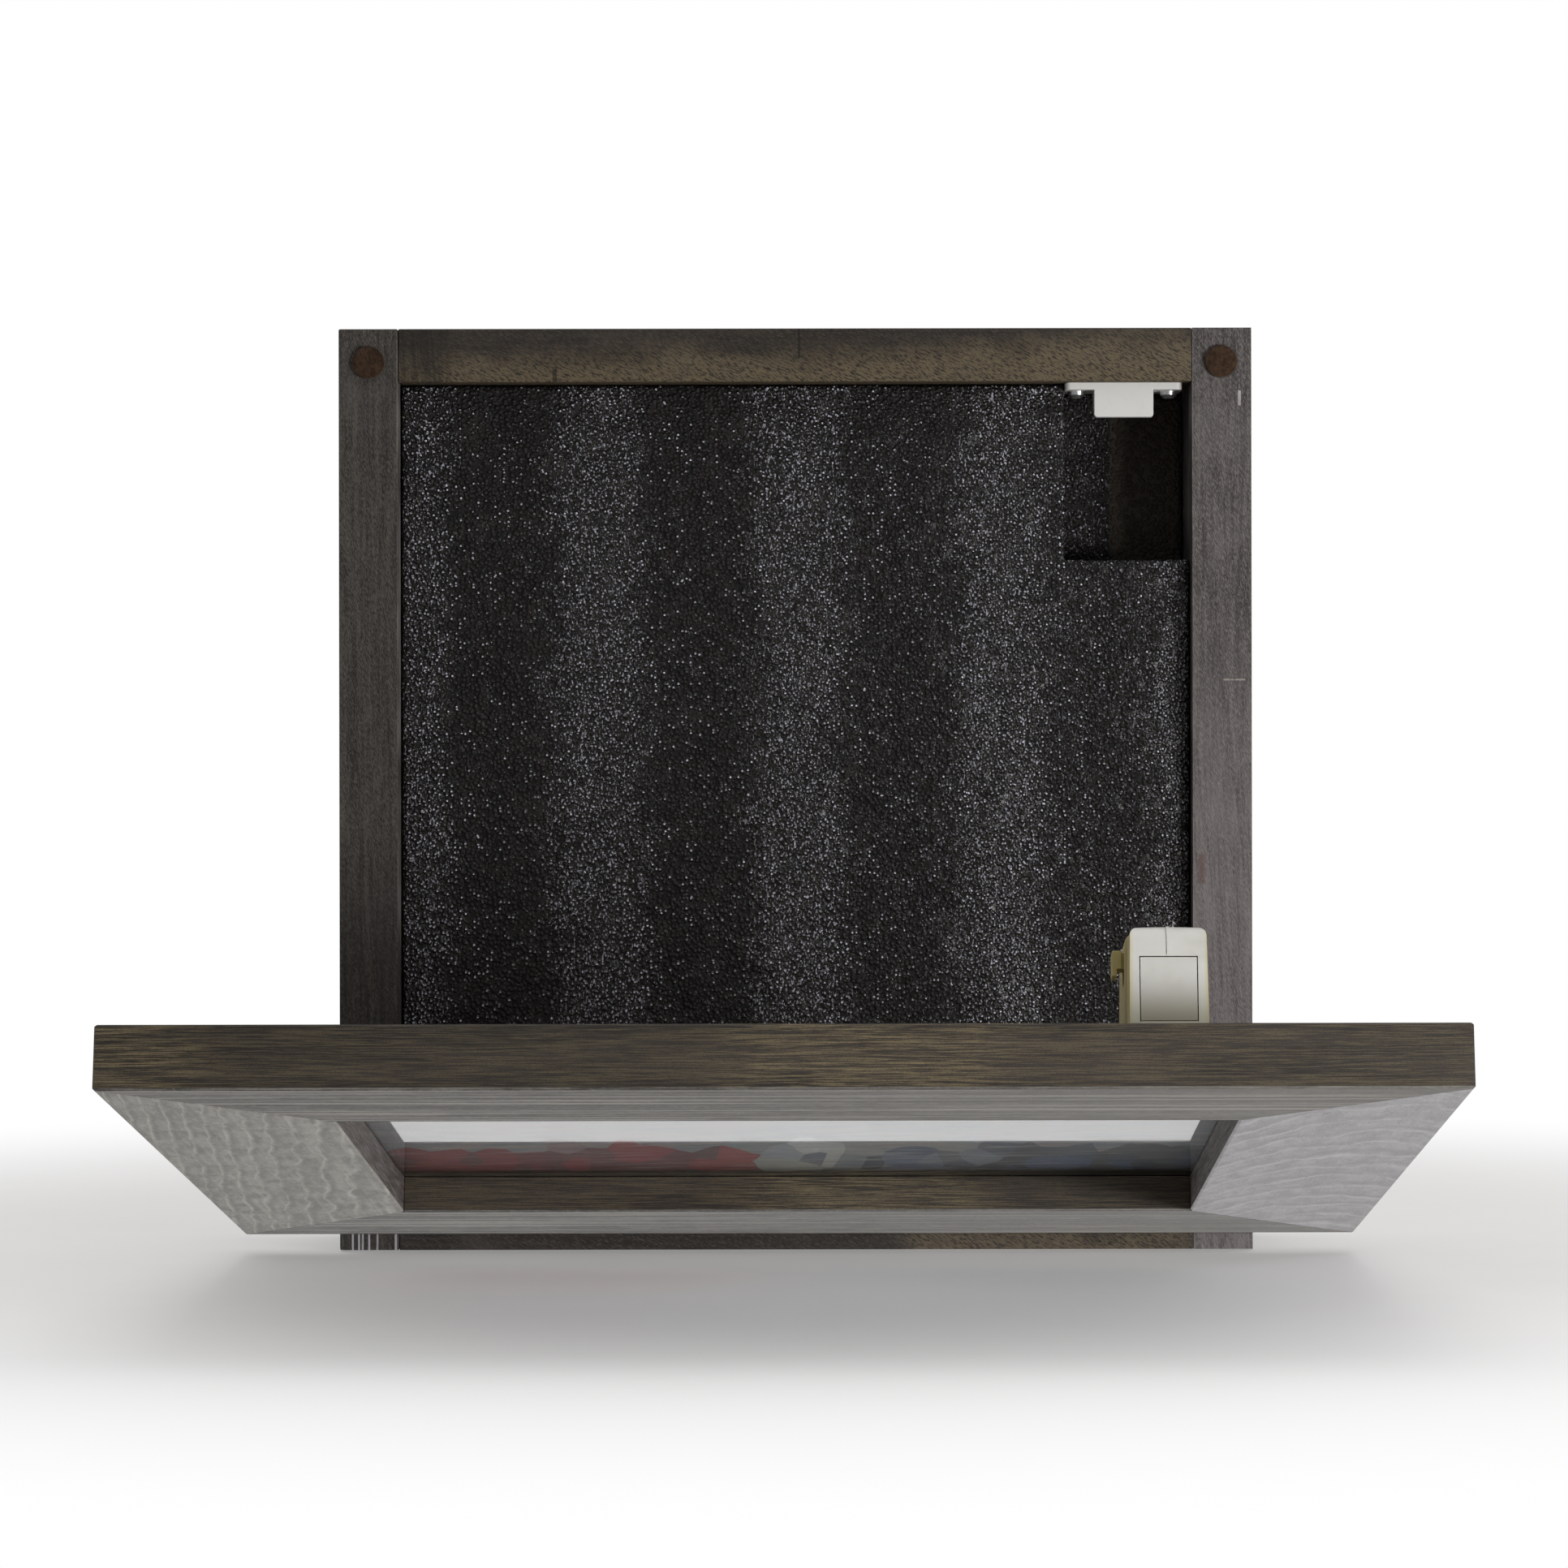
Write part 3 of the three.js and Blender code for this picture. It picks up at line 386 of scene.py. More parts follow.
def foam_skin(name, banded, dull, worn):
    """Black beaded foam skin with shiny beads, and glints painted on beads and wrinkles. A banded sheet has
    more glints in broad upright bands and towards its right, nearer the lamp. The other sheet has painted
    glints at its left only, where the light reaches it, and its shaded right is painted a lighter dull brown."""
    g = Graph(name)
    x, y, z = g.split(g.point)
    bead_size, bead_spread, lit_until_x = 1.55, 0.62, 112.0
    from_middle = g.times(g.cells(g.point, bead_size), 1 / bead_spread)
    beads = g.math("MAXIMUM", g.math("SUBTRACT", 1.0, g.times(from_middle, from_middle)), 0.0)
    luck, shade, _ = g.split(g.cells(g.point, bead_size, output="Color"))
    clusters = g.levels(g.noise(g.point, 7, 3, 0.6), 0.45, 0.7, 0, 0.25)
    if banded:
        drift = g.times(g.add(g.noise(g.point, 20, 3, 0.6), -0.5), 26)
        phase = g.times(g.add(g.add(x, -band_centre), drift), 2 * math.pi / band_period)
        glint_zone = g.levels(g.math("COSINE", phase), -0.6, 0.9)
        # More glints are painted towards the right, nearer the lamp, and in the bands of gloss.
        share = g.add(g.add(g.levels(x, -60, 140, 0.2, 0.32), g.times(glint_zone, 0.6)), clusters)
        wrinkle_glint_share = g.math("MAXIMUM", glint_zone, g.levels(x, -60, 140, 0.08, 0.4))
    else:
        # On the back sheet, glints are painted only where the light reaches, left of lit_until_x.
        glint_zone = g.levels(x, lit_until_x + 4, lit_until_x, 0, 0.7)
        share = g.times(glint_zone, g.add(clusters, 0.25))
        wrinkle_glint_share = g.math("MAXIMUM", glint_zone, 0.05)
    shines = g.levels(g.add(luck, share), 0.95, 1.03)

    grime = g.noise(g.point, 11, 4, 0.6)
    tint = g.mix(beads, tone(dull), tone(worn))
    tint = g.mix(g.levels(grime, 0.45, 0.7, 0, 0.5), tint, tone("2a2521"))
    # Painted highlight: a bright dot on the top of each shining bead.
    painted_glint = g.times(g.levels(beads, 0.83, 0.94), g.levels(shade, 0.1, 1.0, 0.35, 1.0))
    tint = g.mix(g.times(shines, painted_glint), tint, tone("cfcfdc"))
    # Painted highlight: bright specks on fine wrinkles, where the glints are.
    wrinkles = g.noise(g.stretch(g.point, (1, 1, 0.55)), 0.62, 2, 0.5)
    tint = g.mix(g.times(g.levels(wrinkles, 0.6, 0.68), wrinkle_glint_share), tint, tone("a3a2ad"))
    if not banded:
        # Painted light: the shaded right of the back sheet is lifted to a dull brown.
        tint = g.mix(g.levels(glint_zone, 0.5, 0.1), tint, tone("453f38"))
    dents = g.noise(g.point, 0.8, 3, 0.6)
    height = g.add(beads, g.times(dents, 0.35))
    roughness = g.levels(shines, 0, 1, 0.55, 0.18)
    specular = g.levels(shines, 0, 1, 0.2, 0.5)
    return g.finish(tint, roughness, g.bump(height, 0.7), **{"Specular IOR Level": specular})


def felt_wool(name):
    """Pressed rust-brown wool."""
    g = Graph(name)
    hairs = g.noise(g.stretch(g.point, (1, 1, 0.3), (0, 35, 0)), 0.35, 4, 0.7)
    crossed = g.noise(g.stretch(g.point, (1, 1, 0.3), (0, -50, 0)), 0.35, 4, 0.7)
    clumps = g.noise(g.point, 2.2, 3, 0.6)
    hair = g.math("MAXIMUM", hairs, crossed)
    tint = g.mix(g.levels(clumps, 0.3, 0.7), tone("2f2118"), tone("453427"))
    tint = g.mix(g.levels(hair, 0.58, 0.75, 0, 0.5), tint, tone("624c3b"))
    sheen = {"Sheen Weight": 0.1, "Sheen Roughness": 0.5, "Specular IOR Level": 0.1}
    return g.finish(tint, 0.95, g.bump(hair, 0.3), **sheen)


def plywood_sheet(name):
    """Thin back panel: pale veneer with long soft figure."""
    g = Graph(name)
    figure = g.noise(g.stretch(g.point, along_axis("z", 0.025)), 6, 5, 0.6, 0.4)
    fibres = g.noise(g.stretch(g.point, along_axis("z", 0.07)), 0.6, 5, 0.75)
    pores = g.noise(g.stretch(g.point, along_axis("z", 0.1)), 0.6, 2, 0.5)
    stains = g.noise(g.point, 60, 3, 0.5)
    tint = g.mix(g.levels(figure, 0.3, 0.7), tone("826951"), tone("9a8065"))
    tint = g.mix(g.levels(fibres, 0.45, 0.75, 0, 0.35), tint, tone("6b533d"))
    tint = g.mix(g.levels(pores, 0.62, 0.72, 0, 0.6), tint, tone("4b3828"))
    tint = g.mix(g.levels(stains, 0.5, 0.75, 0, 0.3), tint, tone("64564a"))
    return g.finish(tint, g.levels(fibres, 0.2, 0.8, 0.6, 0.85), g.bump(fibres, 0.12))


def hard_board(name):
    """Backing board: pressed brown fibre with darker flecks."""
    g = Graph(name, in_door=True)
    flecks = g.noise(g.point, 0.7, 5, 0.75)
    clouds = g.noise(g.point, 24, 3, 0.5)
    tint = g.mix(g.levels(clouds, 0.3, 0.7), tone("4d3625"), tone("6a4d36"))
    tint = g.mix(g.levels(flecks, 0.56, 0.72, 0, 0.6), tint, tone("8c6b4c"))
    tint = g.mix(g.levels(flecks, 0.42, 0.3, 0, 0.6), tint, tone("2f2016"))
    return g.finish(tint, g.levels(flecks, 0.3, 0.7, 0.6, 0.85), g.bump(flecks, 0.1))


def painted_print(name):
    """Generic abstract print: brushed patches, maroon at the left to slate blue, under a pale sky."""
    g = Graph(name, in_door=True)
    streaks = g.noise(g.stretch(g.point, (0.1, 1, 1), (0, 8, 0)), 3.5, 4, 0.65)
    wobble = g.times(g.add(g.noise(g.point, 9, 4, 0.6), -0.5), 1.2)
    patch_height = 1 / 0.35
    squeezed = g.stretch(g.point, (1, 1, 1 / patch_height))
    patch_point = g.node("ShaderNodeVectorMath", {0: squeezed, 1: wobble}).outputs[0]
    patch_size = 10.0
    patch_x, _, patch_z = g.split(g.cells(patch_point, patch_size, output="Position"))
    luck, shade, _ = g.split(g.cells(patch_point, patch_size, output="Color"))
    half_width = 136.0
    across = g.levels(patch_x, -half_width, half_width)
    place = g.add(across, g.times(g.add(luck, -0.5), 0.22))
    field = g.ramp(
        place,
        (0.0, tone("8d4b50")),
        (0.3, tone("9a5256")),
        (0.37, tone("58605f")),
        (0.45, tone("999a94")),
        (0.55, tone("c4c4c4")),
        (0.6, tone("57637a")),
        (0.7, tone("8e9296")),
        (0.82, tone("64708a")),
        (1.0, tone("666669")),
    )
    field = g.mix(g.levels(shade, 0.7, 0.75, 0, 0.5), field, tone("4d5156"))
    field = g.mix(g.levels(streaks, 0.55, 0.66, 0, 0.45), field, tone("aeb0ac"))
    field = g.mix(g.levels(streaks, 0.42, 0.34, 0, 0.35), field, tone("3f4247"))
    skyline = 120 / patch_height
    sky = g.mix(g.levels(streaks, 0.4, 0.6), tone("828b93"), tone("a09a96"))
    sky = g.mix(g.levels(luck, 0.6, 0.8, 0, 0.35), sky, tone("a58f8c"))
    field = g.mix(g.levels(patch_z, skyline - 1, skyline + 1, 0, 0.9), field, sky)
    weave = g.noise(g.point, 0.5, 3, 0.6)
    return g.finish(field, 0.7, g.bump(g.add(streaks, g.times(weave, 0.4)), 0.12))


def pane_glass(name):
    """Picture glass: clear, mirror-like at a low angle, with a faint film of dust."""
    g = Graph(name, in_door=True)
    film = g.noise(g.point, 18, 5, 0.65)
    clear = g.node("ShaderNodeBsdfTransparent", {"Color": tone("f6f7f7")})
    mirror = g.node("ShaderNodeBsdfGlossy", {"Roughness": g.levels(film, 0.3, 0.8, 0.012, 0.05)})
    dust = g.node("ShaderNodeBsdfDiffuse", {"Color": tone("b9b7b0")})
    fresnel = g.node("ShaderNodeFresnel", {"IOR": 1.5}).outputs[0]
    inner_side = g.node("ShaderNodeNewGeometry").outputs["Backfacing"]
    outer_mirror = g.times(fresnel, g.math("SUBTRACT", 1.0, inner_side))
    polished = g.node("ShaderNodeMixShader", {"Fac": outer_mirror})
    g.feed(polished.inputs[1], clear.outputs[0])
    g.feed(polished.inputs[2], mirror.outputs[0])
    filmed = g.node("ShaderNodeMixShader", {"Fac": g.levels(film, 0.45, 0.85, 0.0, 0.05)})
    g.feed(filmed.inputs[1], polished.outputs[0])
    g.feed(filmed.inputs[2], dust.outputs[0])
    g.tree.links.new(filmed.outputs[0], g.surface)
    return g.material


def moulded_plastic(name, colour, grime, roughness=0.42, in_door=True):
    """Injection-moulded plastic: spark-eroded texture, hairline scratches and cloudy patches of grime."""
    g = Graph(name, in_door)
    return plastic_surface(g, tone(colour), grime, roughness)


def plastic_surface(g, colour, grime, roughness):
    grain = g.noise(g.point, 0.25, 3, 0.6)
    clouds = g.noise(g.point, 9, 3, 0.6)
    scratches = g.noise(g.stretch(g.point, (1, 1, 0.03), (0, 30, 0)), 0.22, 2, 0.5)
    tint = g.mix(g.levels(clouds, 0.45, 0.8, 0, 0.25), colour, tone(grime))
    tint = g.mix(g.levels(scratches, 0.66, 0.72, 0, 0.15), tint, tone(grime))
    height = g.add(grain, g.levels(scratches, 0.66, 0.72, 0, -0.6))
    gloss = g.levels(grain, 0.3, 0.7, roughness - 0.06, roughness + 0.08)
    return g.finish(tint, gloss, g.bump(height, 0.04))


def aged_plastic_painted_shade(name, colour, yellowed, painted_shade_colour, painted_shade_share):
    """Ivory latch plastic, yellowed on its sides, with painted shade darkening it towards the door by a given
    share.
    """
    g = Graph(name, in_door=True)
    x, y, z = g.split(g.point)
    aside = g.math("ABSOLUTE", g.add(x, -latch_middle_x))
    tint = g.mix(g.levels(aside, 10.4, 12.0), tone(colour), tone(yellowed))
    # Painted shade: darker towards the door.
    tint = g.mix(g.levels(y, 26, 9, 0, painted_shade_share), tint, tone(painted_shade_colour))
    return plastic_surface(g, tint, "a49d88", 0.4)


def plated_metal(name, colour, tarnish, roughness, in_door=False):
    """Plated sheet or turned metal: brushed lines, dull spots and bright worn corners."""
    g = Graph(name, in_door)
    brushed = g.noise(g.stretch(g.point, (0.06, 1, 1)), 0.18, 3, 0.6)
    spots = g.noise(g.point, 2.6, 5, 0.7)
    tint = g.mix(g.levels(spots, 0.52, 0.72, 0, 0.7), tone(colour), tone(tarnish))
    tint = g.mix(g.times(g.worn_edge(0.25), 0.5), tint, tone("e6e2da"))
    gloss = g.levels(brushed, 0.3, 0.7, roughness - 0.06, roughness + 0.1)
    gloss = g.add(gloss, g.levels(spots, 0.5, 0.72, 0, 0.22))
    return g.finish(tint, gloss, g.bump(brushed, 0.015), Metallic=0.92)


LOOKS = {
    "plywood": plywood_sheet("plywood_veneer"),
    "hardboard": hard_board("pressed_board"),
    "paper": painted_print("abstract_print"),
    "glass": pane_glass("picture_glass"),
    "white_plastic": moulded_plastic("strike_plastic", "d6d5d1", "aaa596", in_door=False),
    # The last two values are the colour and share of the painted shade towards the door.
    "ivory_plastic": aged_plastic_painted_shade("latch_plastic", "cdccc6", "c9bd8e", "a8a288", 0.6),
    "olive_plastic": moulded_plastic("switch_plastic", "bfb27a", "958c5e", 0.5),
    "zinc_steel": plated_metal("zinc_plate", "b9bbbd", "7b7c7a", 0.3),
    "brass": plated_metal("brass_leaf", "a98a4e", "5c4726", 0.32),
    "magnet": plated_metal("nickel_magnet", "c9cbce", "8a8c8e", 0.2),
}

LEFT_SCRATCHES = (-157.6, -155.4, -154.1, -151.8, -148.9)
LEFT_MARKS_AND_PAINTED_SHADE = [
    # Painted shadow: the left board darker towards its foot, where the open door shades it.
    Mark((-170, -140), (-200, -70), "1e1c19", 0.5, soft=60),
    *[Mark((x, x + 0.35), (-163.5, -157), "c6c3ca", 0.7) for x in LEFT_SCRATCHES],
    Mark((-142.4, -141.9), (-163.5, -157.5), "c6c3ca", 0.6),
]
RIGHT_MARKS_AND_PAINTED_LIGHT = [
    # Painted light: the right board paler towards its foot, where the low lamp reaches it past the door.
    Mark((140, 170), (-200, -10), "8f8888", 0.3, soft=90),
    Mark((143.6, 144.6), (-33, -24), "59392b", 0.5, soft=1.2),
    Mark((152, 159.5), (38.4, 38.7), "9c958c", 0.8),
    Mark((157.4, 158.1), (136, 141), "b9b5b2", 0.9),
]
TOP_MARKS = [
    Mark((-142, -128), (140, 170), "1d1916", 0.6, soft=9),
    Mark((-86, -84.8), (144, 149), "12100e", 0.8),
    Mark((1.2, 1.7), (153, 164), "12100e", 0.7),
]
NODE_LOOKS = {
    # The last two values are the colour and share of the painted shade towards the door.
    "latch_tongue": aged_plastic_painted_shade("tongue_plastic", "c9c8c2", "c1bfb2", "918a7a", 1.0),
    "side_board_left": stained_wood(
        "stain_left",
        "z",
        shade="24211e",
        body="5a544e",
        haze="5e5a59",
        marks=LEFT_MARKS_AND_PAINTED_SHADE,
        rubbed_arris=141.0,
    ),
    "side_board_right": stained_wood(
        "stain_right",
        "z",
        shade="2f2b2a",
        body="6c6664",
        haze="807b79",
        marks=RIGHT_MARKS_AND_PAINTED_LIGHT,
        rubbed_arris=141.0,
    ),
    "top_board": stained_wood(
        "stain_top",
        "x",
        shade="221e1b",
        body="40382f",
        haze="544e46",
        gold=top_gold,
        streak="6b5e48",
        marks=TOP_MARKS,
    ),
    "bottom_board": stained_wood(
        "stain_bottom",
        "x",
        shade="211d1a",
        body="3c3631",
        haze="5a5450",
        gold=bottom_gold,
        streak="5f533f",
    ),
    # The stiles get paler greys than the rails and the right stile the palest: weathered grey with a painted
    # sheen of the face at a low angle.
    "door_rail_bottom": frame_wood(
        "grey_rail_bottom",
        "x",
        straight_rings,
        shade="454240",
        body="6a6661",
        ridge="8b8883",
        ring_contrast=0.35,
        banding=0.9,
    ),
    "door_rail_top": frame_wood(
        "grey_rail_top",
        "x",
        straight_rings,
        shade="35322f",
        body="605c57",
        ridge="87837c",
        ring_contrast=0.4,
        banding=1.0,
    ),
    "door_stile_left": frame_wood(
        "grey_stile_left",
        "z",
        leaning_rings,
        shade="65625c",
        body="8a8781",
        ridge="a6a39a",
        ring_contrast=0.9,
    ),
    "door_stile_right": frame_wood(
        "grey_stile_right",
        "z",
        arched_rings,
        shade="727073",
        body="949194",
        ridge="b6b3b3",
        ring_contrast=0.95,
        banding=0.08,
    ),
}
# Widths of the rounded edges, by material slot
BEVELS = {
    "case_wood": 0.5,
    "frame_wood": 0.45,
    "plywood": 0.3,
    "hardboard": 0.3,
    "glass": 0.2,
    "white_plastic": 0.35,
    "ivory_plastic": 0.3,
    "olive_plastic": 0.25,
    "zinc_steel": 0.2,
    "brass": 0.12,
}


def bevel(node, width):
    """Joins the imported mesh's split corners and rounds its edges over, without touching the mesh."""
    weld = node.modifiers.new("weld", "WELD")
    weld.merge_threshold = 0.001 * MM
    flat = node.modifiers.new("flat", "DECIMATE")
    flat.decimate_type = "DISSOLVE"
    flat.angle_limit = math.radians(0.5)
    edge = node.modifiers.new("edge", "BEVEL")
    edge.width = width * MM
    edge.segments = 2
    edge.limit_method = "ANGLE"
    edge.angle_limit = math.radians(32)
    normals = node.modifiers.new("normals", "WEIGHTED_NORMAL")
    normals.mode = "FACE_AREA"
    normals.weight = 80


def dress(node):
    """Gives a CAD node its material and its rounded edges."""
    slot_name = node.data.materials[0].name.split(".")[0]
    look = NODE_LOOKS.get(node.name) or LOOKS.get(slot_name)
    if look is None:
        return
    for material_slot in node.material_slots:
        material_slot.material = look
    custom = node.data.attributes.get("custom_normal")
    if custom is not None:
        node.data.attributes.remove(custom)
    node.data.shade_smooth()
    if slot_name in BEVELS:
        bevel(node, BEVELS[slot_name])


for cad_node in nodes.values():
    dress(cad_node)


# ---- Foam and felt ----


def new_piece(name, vertices, faces, material, body, slot_name, stands_for):
    """Makes a mesh piece that rides on a body and stands for a CAD node."""
    mesh = bpy.data.meshes.new(name)
    mesh.from_pydata([tuple(v) for v in vertices], [], faces)
    mesh.validate()
    mesh.shade_smooth()
    mesh.materials.append(material)
    piece = bpy.data.objects.new(name, mesh)
    bpy.context.scene.collection.objects.link(piece)
    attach(piece, body)
    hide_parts(stands_for)


def steps(low, high, cell):
    """Evenly spaced places from low to high, about a cell apart."""
    return np.linspace(low, high, max(2, round((high - low) / cell) + 1))


def joined_steps(marks, cell):
    """Places about a cell apart that also fall on every mark."""
    runs = [steps(a, b, cell)[:-1] for a, b in zip(marks, marks[1:])]
    return np.concatenate([*runs, [marks[-1]]])


def foam_relief(x, z, seed):
    """How far the foam skin stands out at a point, in millimetres: slow waves, dimples and pebbles."""
    relief = 0.45 * math.cos(2 * math.pi * (x - band_centre) / band_period + 1.2)
    for depth, size in ((0.5, 16), (0.3, 5), (0.22, 1.9)):
        relief += depth * noise.noise(Vector((x / size, seed, z / size)))
    return relief


def foam_sheet(stands_for, cell, seed, notch=None):
    """A foam sheet with a soft front edge, as one closed mesh. notch is the lowest corner of a square
    cut out of its high right corner."""
    low, high = (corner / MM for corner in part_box(stands_for))
    marks_x = [low.x, high.x] if notch is None else [low.x, notch[0], high.x]
    marks_z = [low.z, high.z] if notch is None else [low.z, notch[1], high.z]
    xs, zs = joined_steps(marks_x, cell), joined_steps(marks_z, cell)
    edge_radius, relief_room, wall_layers = 0.9, 1.6, 8
    front_y, back_y = low.y + relief_room, high.y
    rim_y = front_y + edge_radius

    def inside(i, k):
        """Whether the cell after step i and k holds foam."""
        if not (0 <= i < len(xs) - 1 and 0 <= k < len(zs) - 1):
            return False
        return notch is None or xs[i] < notch[0] - 1e-6 or zs[k] < notch[1] - 1e-6

    def edge_distance(x, z):
        """How far a point of the sheet is from its outline."""
        away = min(x - low.x, high.x - x, z - low.z, high.z - z)
        if notch is not None:
            away = min(away, math.hypot(max(notch[0] - x, 0), max(notch[1] - z, 0)))
        return away

    def layer_y(x, z, layer):
        """Depth of a layer of vertices. Layer 0 is the skin and the last one is the back."""
        if layer:
            return rim_y + (back_y - rim_y) * layer / wall_layers
        away = edge_distance(x, z)
        drop = edge_radius - math.sqrt(max(0.0, edge_radius**2 - max(0, edge_radius - away) ** 2))
        return front_y + drop - foam_relief(x, z, seed) * min(1.0, away / edge_radius)

    vertices, index = [], {}

    def vertex(i, k, layer):
        """The number of the vertex at step i and k of a layer, made on first use."""
        key = (i, k, layer)
        if key not in index:
            index[key] = len(vertices)
            vertices.append(Vector((xs[i], layer_y(xs[i], zs[k], layer), zs[k])) * MM)
        return index[key]

    faces = []
    for i in range(len(xs) - 1):
        for k in range(len(zs) - 1):
            if not inside(i, k):
                continue
            corners = [(i, k), (i + 1, k), (i + 1, k + 1), (i, k + 1)]
            faces.append([vertex(*c, 0) for c in corners])
            faces.append([vertex(*c, wall_layers) for c in reversed(corners)])
            beyond = [(i, k - 1), (i + 1, k), (i, k + 1), (i - 1, k)]
            for side, neighbour in enumerate(beyond):
                if inside(*neighbour):
                    continue
                a, b = corners[side], corners[(side + 1) % 4]
                for layer in range(wall_layers):
                    faces.append(
                        [vertex(*b, layer), vertex(*a, layer), vertex(*a, layer + 1), vertex(*b, layer + 1)]
                    )
    return vertices, faces


def add_foam(stands_for, cell, seed, notch=None, **skin):
    """Puts a foam skin in the place of a CAD sheet."""
    sheet = foam_sheet(stands_for, cell, seed, notch)
    material = foam_skin(stands_for + "_skin", **skin)
    new_piece(stands_for + "_skin", *sheet, material, "case", "foam", stands_for)


def felt_disc(stands_for):
    """A thick felt disc: crowned face, ragged rim and matted hair."""
    low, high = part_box(stands_for)
    centre = (low + high) / 2
    radius = (high.x - low.x) / 2 / MM
    thickness = (high.y - low.y) / MM
    around = 96
    crown, rim, hair_room = 0.35, 0.5, 0.25
    # (distance from the axis, height over the board) from the middle of the face to the board
    face = [(radius * t, thickness - crown * t**2 - hair_room) for t in np.linspace(0.04, 0.93, 20)]
    wall = [(radius * (0.93 + 0.05 * t), (thickness - rim) * (1 - t)) for t in np.linspace(0.15, 1, 6)]
    profile = face + wall
    vertices, faces = [], []

    def place(out, up, angle):
        """A point from its distance from the axis and its height, roughened by the hair."""
        x, z = out * math.cos(angle), out * math.sin(angle)
        matted = 0.3 * noise.noise(Vector((x / 0.8 + centre.x / MM, up / 0.8, z / 0.8)))
        ragged = 1 + 0.012 * noise.noise(Vector((3 * math.cos(angle), centre.x / MM, 3 * math.sin(angle))))
        lift = matted if up > 0.01 else 0
        return Vector((x * ragged, -min(up + lift, thickness) if up > 0 else 0, z * ragged))

    for out, up in profile:
        for j in range(around):
            angle = 2 * math.pi * j / around
            vertices.append(Vector((centre.x, high.y, centre.z)) + place(out, up, angle) * MM)
    for ring in range(len(profile) - 1):
        for j in range(around):
            a, b = ring * around + j, ring * around + (j + 1) % around
            faces.append([a, b, b + around, a + around])
    faces.append(list(reversed(range(around))))
    faces.append([(len(profile) - 1) * around + j for j in range(around)])
    return vertices, faces


foam_cell = 0.9
add_foam("foam_front", foam_cell, 3.1, (96.0, 81.5), banded=True, dull="100f0e", worn="272423")
add_foam("foam_back", 2 * foam_cell, 8.7, banded=False, dull="211e1d", worn="332f2d")

wool = felt_wool("rust_felt")
for felt_name in ("felt_bumper_left", "felt_bumper_right"):
    new_piece(felt_name + "_wool", *felt_disc(felt_name), wool, "case", "felt", felt_name)


# ---- Studio ----


def studio_world():
    """White behind the object for the camera; for light, brighter from behind and below than in front."""
    world = bpy.data.worlds.new("studio")
    world.use_nodes = True
    tree = world.node_tree
    tree.nodes.clear()

    def node(kind, **settings):
        made = tree.nodes.new(kind)
        for name, value in settings.items():
            setattr(made, name, value)
        return made

    def span(source, low, high, to_low, to_high):
        made = node("ShaderNodeMapRange", interpolation_type="SMOOTHSTEP")
        tree.links.new(source, made.inputs["Value"])
        for key, value in zip(("From Min", "From Max", "To Min", "To Max"), (low, high, to_low, to_high)):
            made.inputs[key].default_value = value
        return made.outputs[0]

    direction = node("ShaderNodeTexCoord")
    parts = node("ShaderNodeSeparateXYZ")
    tree.links.new(direction.outputs["Generated"], parts.inputs[0])
    behind = span(parts.outputs[1], -0.4, 0.5, 0.24, 0.9)
    below = span(parts.outputs[2], 0.0, -0.35, 0.0, 0.3)
    total = node("ShaderNodeMath", operation="ADD")
    tree.links.new(behind, total.inputs[0])
    tree.links.new(below, total.inputs[1])

    path = node("ShaderNodeLightPath")
    seen = node("ShaderNodeMix", data_type="FLOAT")
    tree.links.new(path.outputs["Is Camera Ray"], seen.inputs[0])
    tree.links.new(total.outputs[0], seen.inputs[2])
    seen.inputs[3].default_value = 1.0
    background = node("ShaderNodeBackground")
    background.inputs["Color"].default_value = (1, 1, 1, 1)
    tree.links.new(seen.outputs[0], background.inputs["Strength"])
    output = node("ShaderNodeOutputWorld")
    tree.links.new(background.outputs[0], output.inputs["Surface"])
    bpy.context.scene.world = world


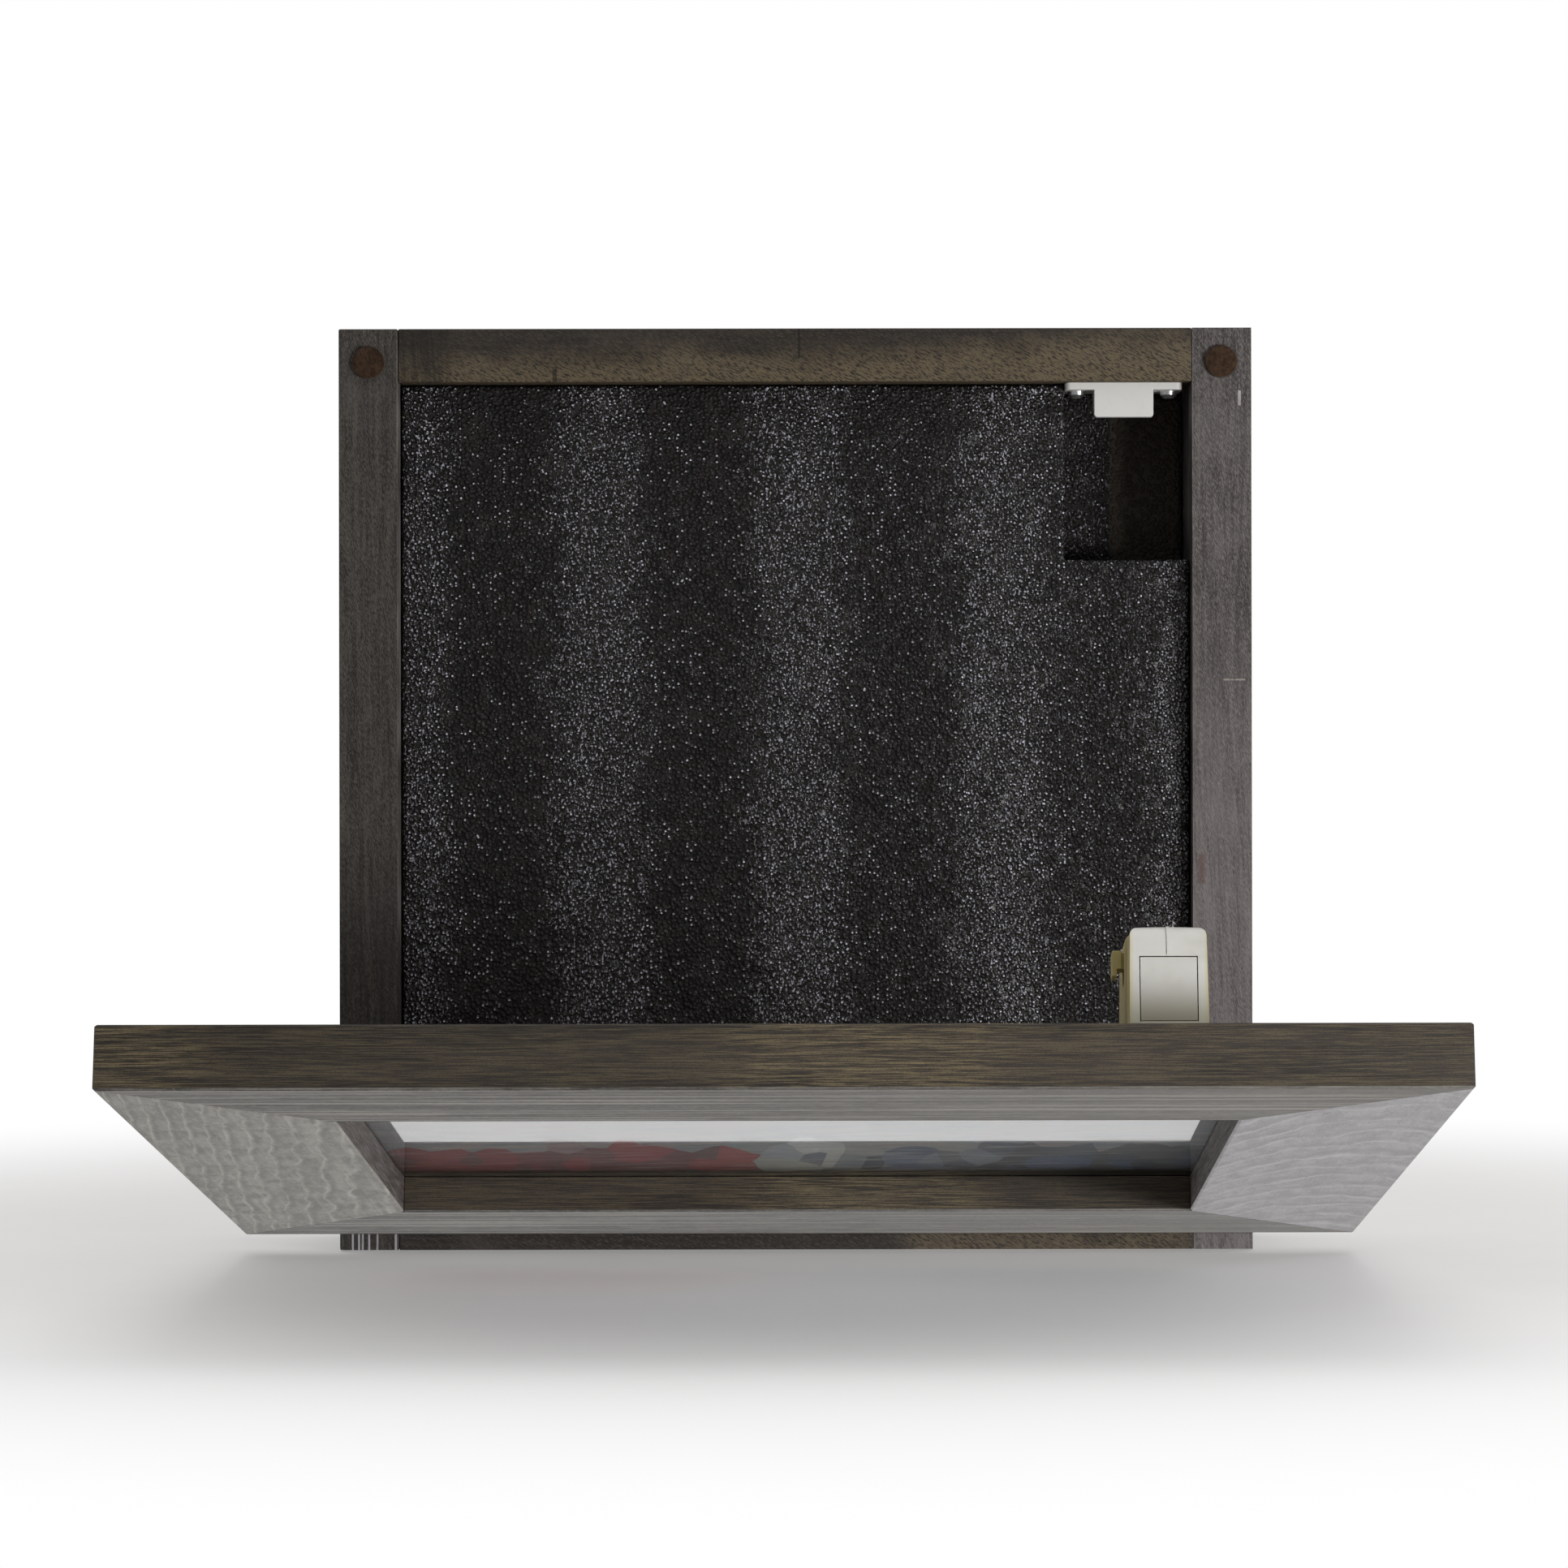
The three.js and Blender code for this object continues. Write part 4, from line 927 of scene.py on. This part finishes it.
def floor_paint(name):
    """Pale floor near the object that fades into the white of the backdrop further out."""
    g = Graph(name)
    x, y, z = g.split(g.point)
    away = g.math("SQRT", g.add(g.times(x, x), g.times(y, y)))
    speckle = g.noise(g.point, 30, 3, 0.5)
    pale = g.mix(speckle, tone("f4f3f1"), tone("f8f7f6"))
    near = g.node("ShaderNodeBsdfDiffuse", {"Color": pale})
    far = g.node("ShaderNodeEmission", {"Color": (1.0, 1.0, 1.0), "Strength": 1.0})
    blend = g.node("ShaderNodeMixShader", {"Fac": g.levels(away, 250, 700, 0.2, 1.0)})
    g.feed(blend.inputs[1], near.outputs[0])
    g.feed(blend.inputs[2], far.outputs[0])
    g.tree.links.new(blend.outputs[0], g.surface)
    return g.material


def studio_floor():
    half, gap = 25.0, 0.4 * MM
    level = cad_low.z - gap
    mesh = bpy.data.meshes.new("floor")
    corners = [(-half, -half), (half, -half), (half, half), (-half, half)]
    mesh.from_pydata([(x, y, level) for x, y in corners], [], [[0, 1, 2, 3]])
    mesh.materials.append(floor_paint("pale_floor"))
    floor = bpy.data.objects.new("floor", mesh)
    bpy.context.scene.collection.objects.link(floor)
    floor.visible_diffuse = False
    floor.visible_glossy = False


def soft_light(name, place, target, size, power):
    lamp = bpy.data.lights.new(name, "AREA")
    lamp.shape = "RECTANGLE"
    lamp.size, lamp.size_y = size
    lamp.energy = power
    light = bpy.data.objects.new(name, lamp)
    light.location = place
    light.rotation_mode = "QUATERNION"
    light.rotation_quaternion = (Vector(target) - Vector(place)).to_track_quat("-Z", "Y")
    light.visible_camera = False
    bpy.context.scene.collection.objects.link(light)


def main_camera():
    """Level camera in front of the box, a little right of its middle, with a shifted long lens."""
    data = bpy.data.cameras.new("camera")
    data.sensor_width = 36.0
    data.lens = 107.5
    data.shift_x = -0.0487
    camera = bpy.data.objects.new("camera", data)
    camera.location = (0.023, -1.7255, 0.0017)
    camera.rotation_euler = (math.radians(90), math.radians(0.1), 0)
    bpy.context.scene.collection.objects.link(camera)
    bpy.context.scene.camera = camera


studio_world()
studio_floor()
box_middle = (0, -0.06, 0)
soft_light("key", (0.74, -0.9, -0.09), box_middle, (0.45, 0.17), 8.6)
soft_light("overhead", (0.1, -0.35, 1.3), box_middle, (1.2, 1.2), 4.0)
main_camera()
bpy.context.scene.view_settings.view_transform = "Standard"
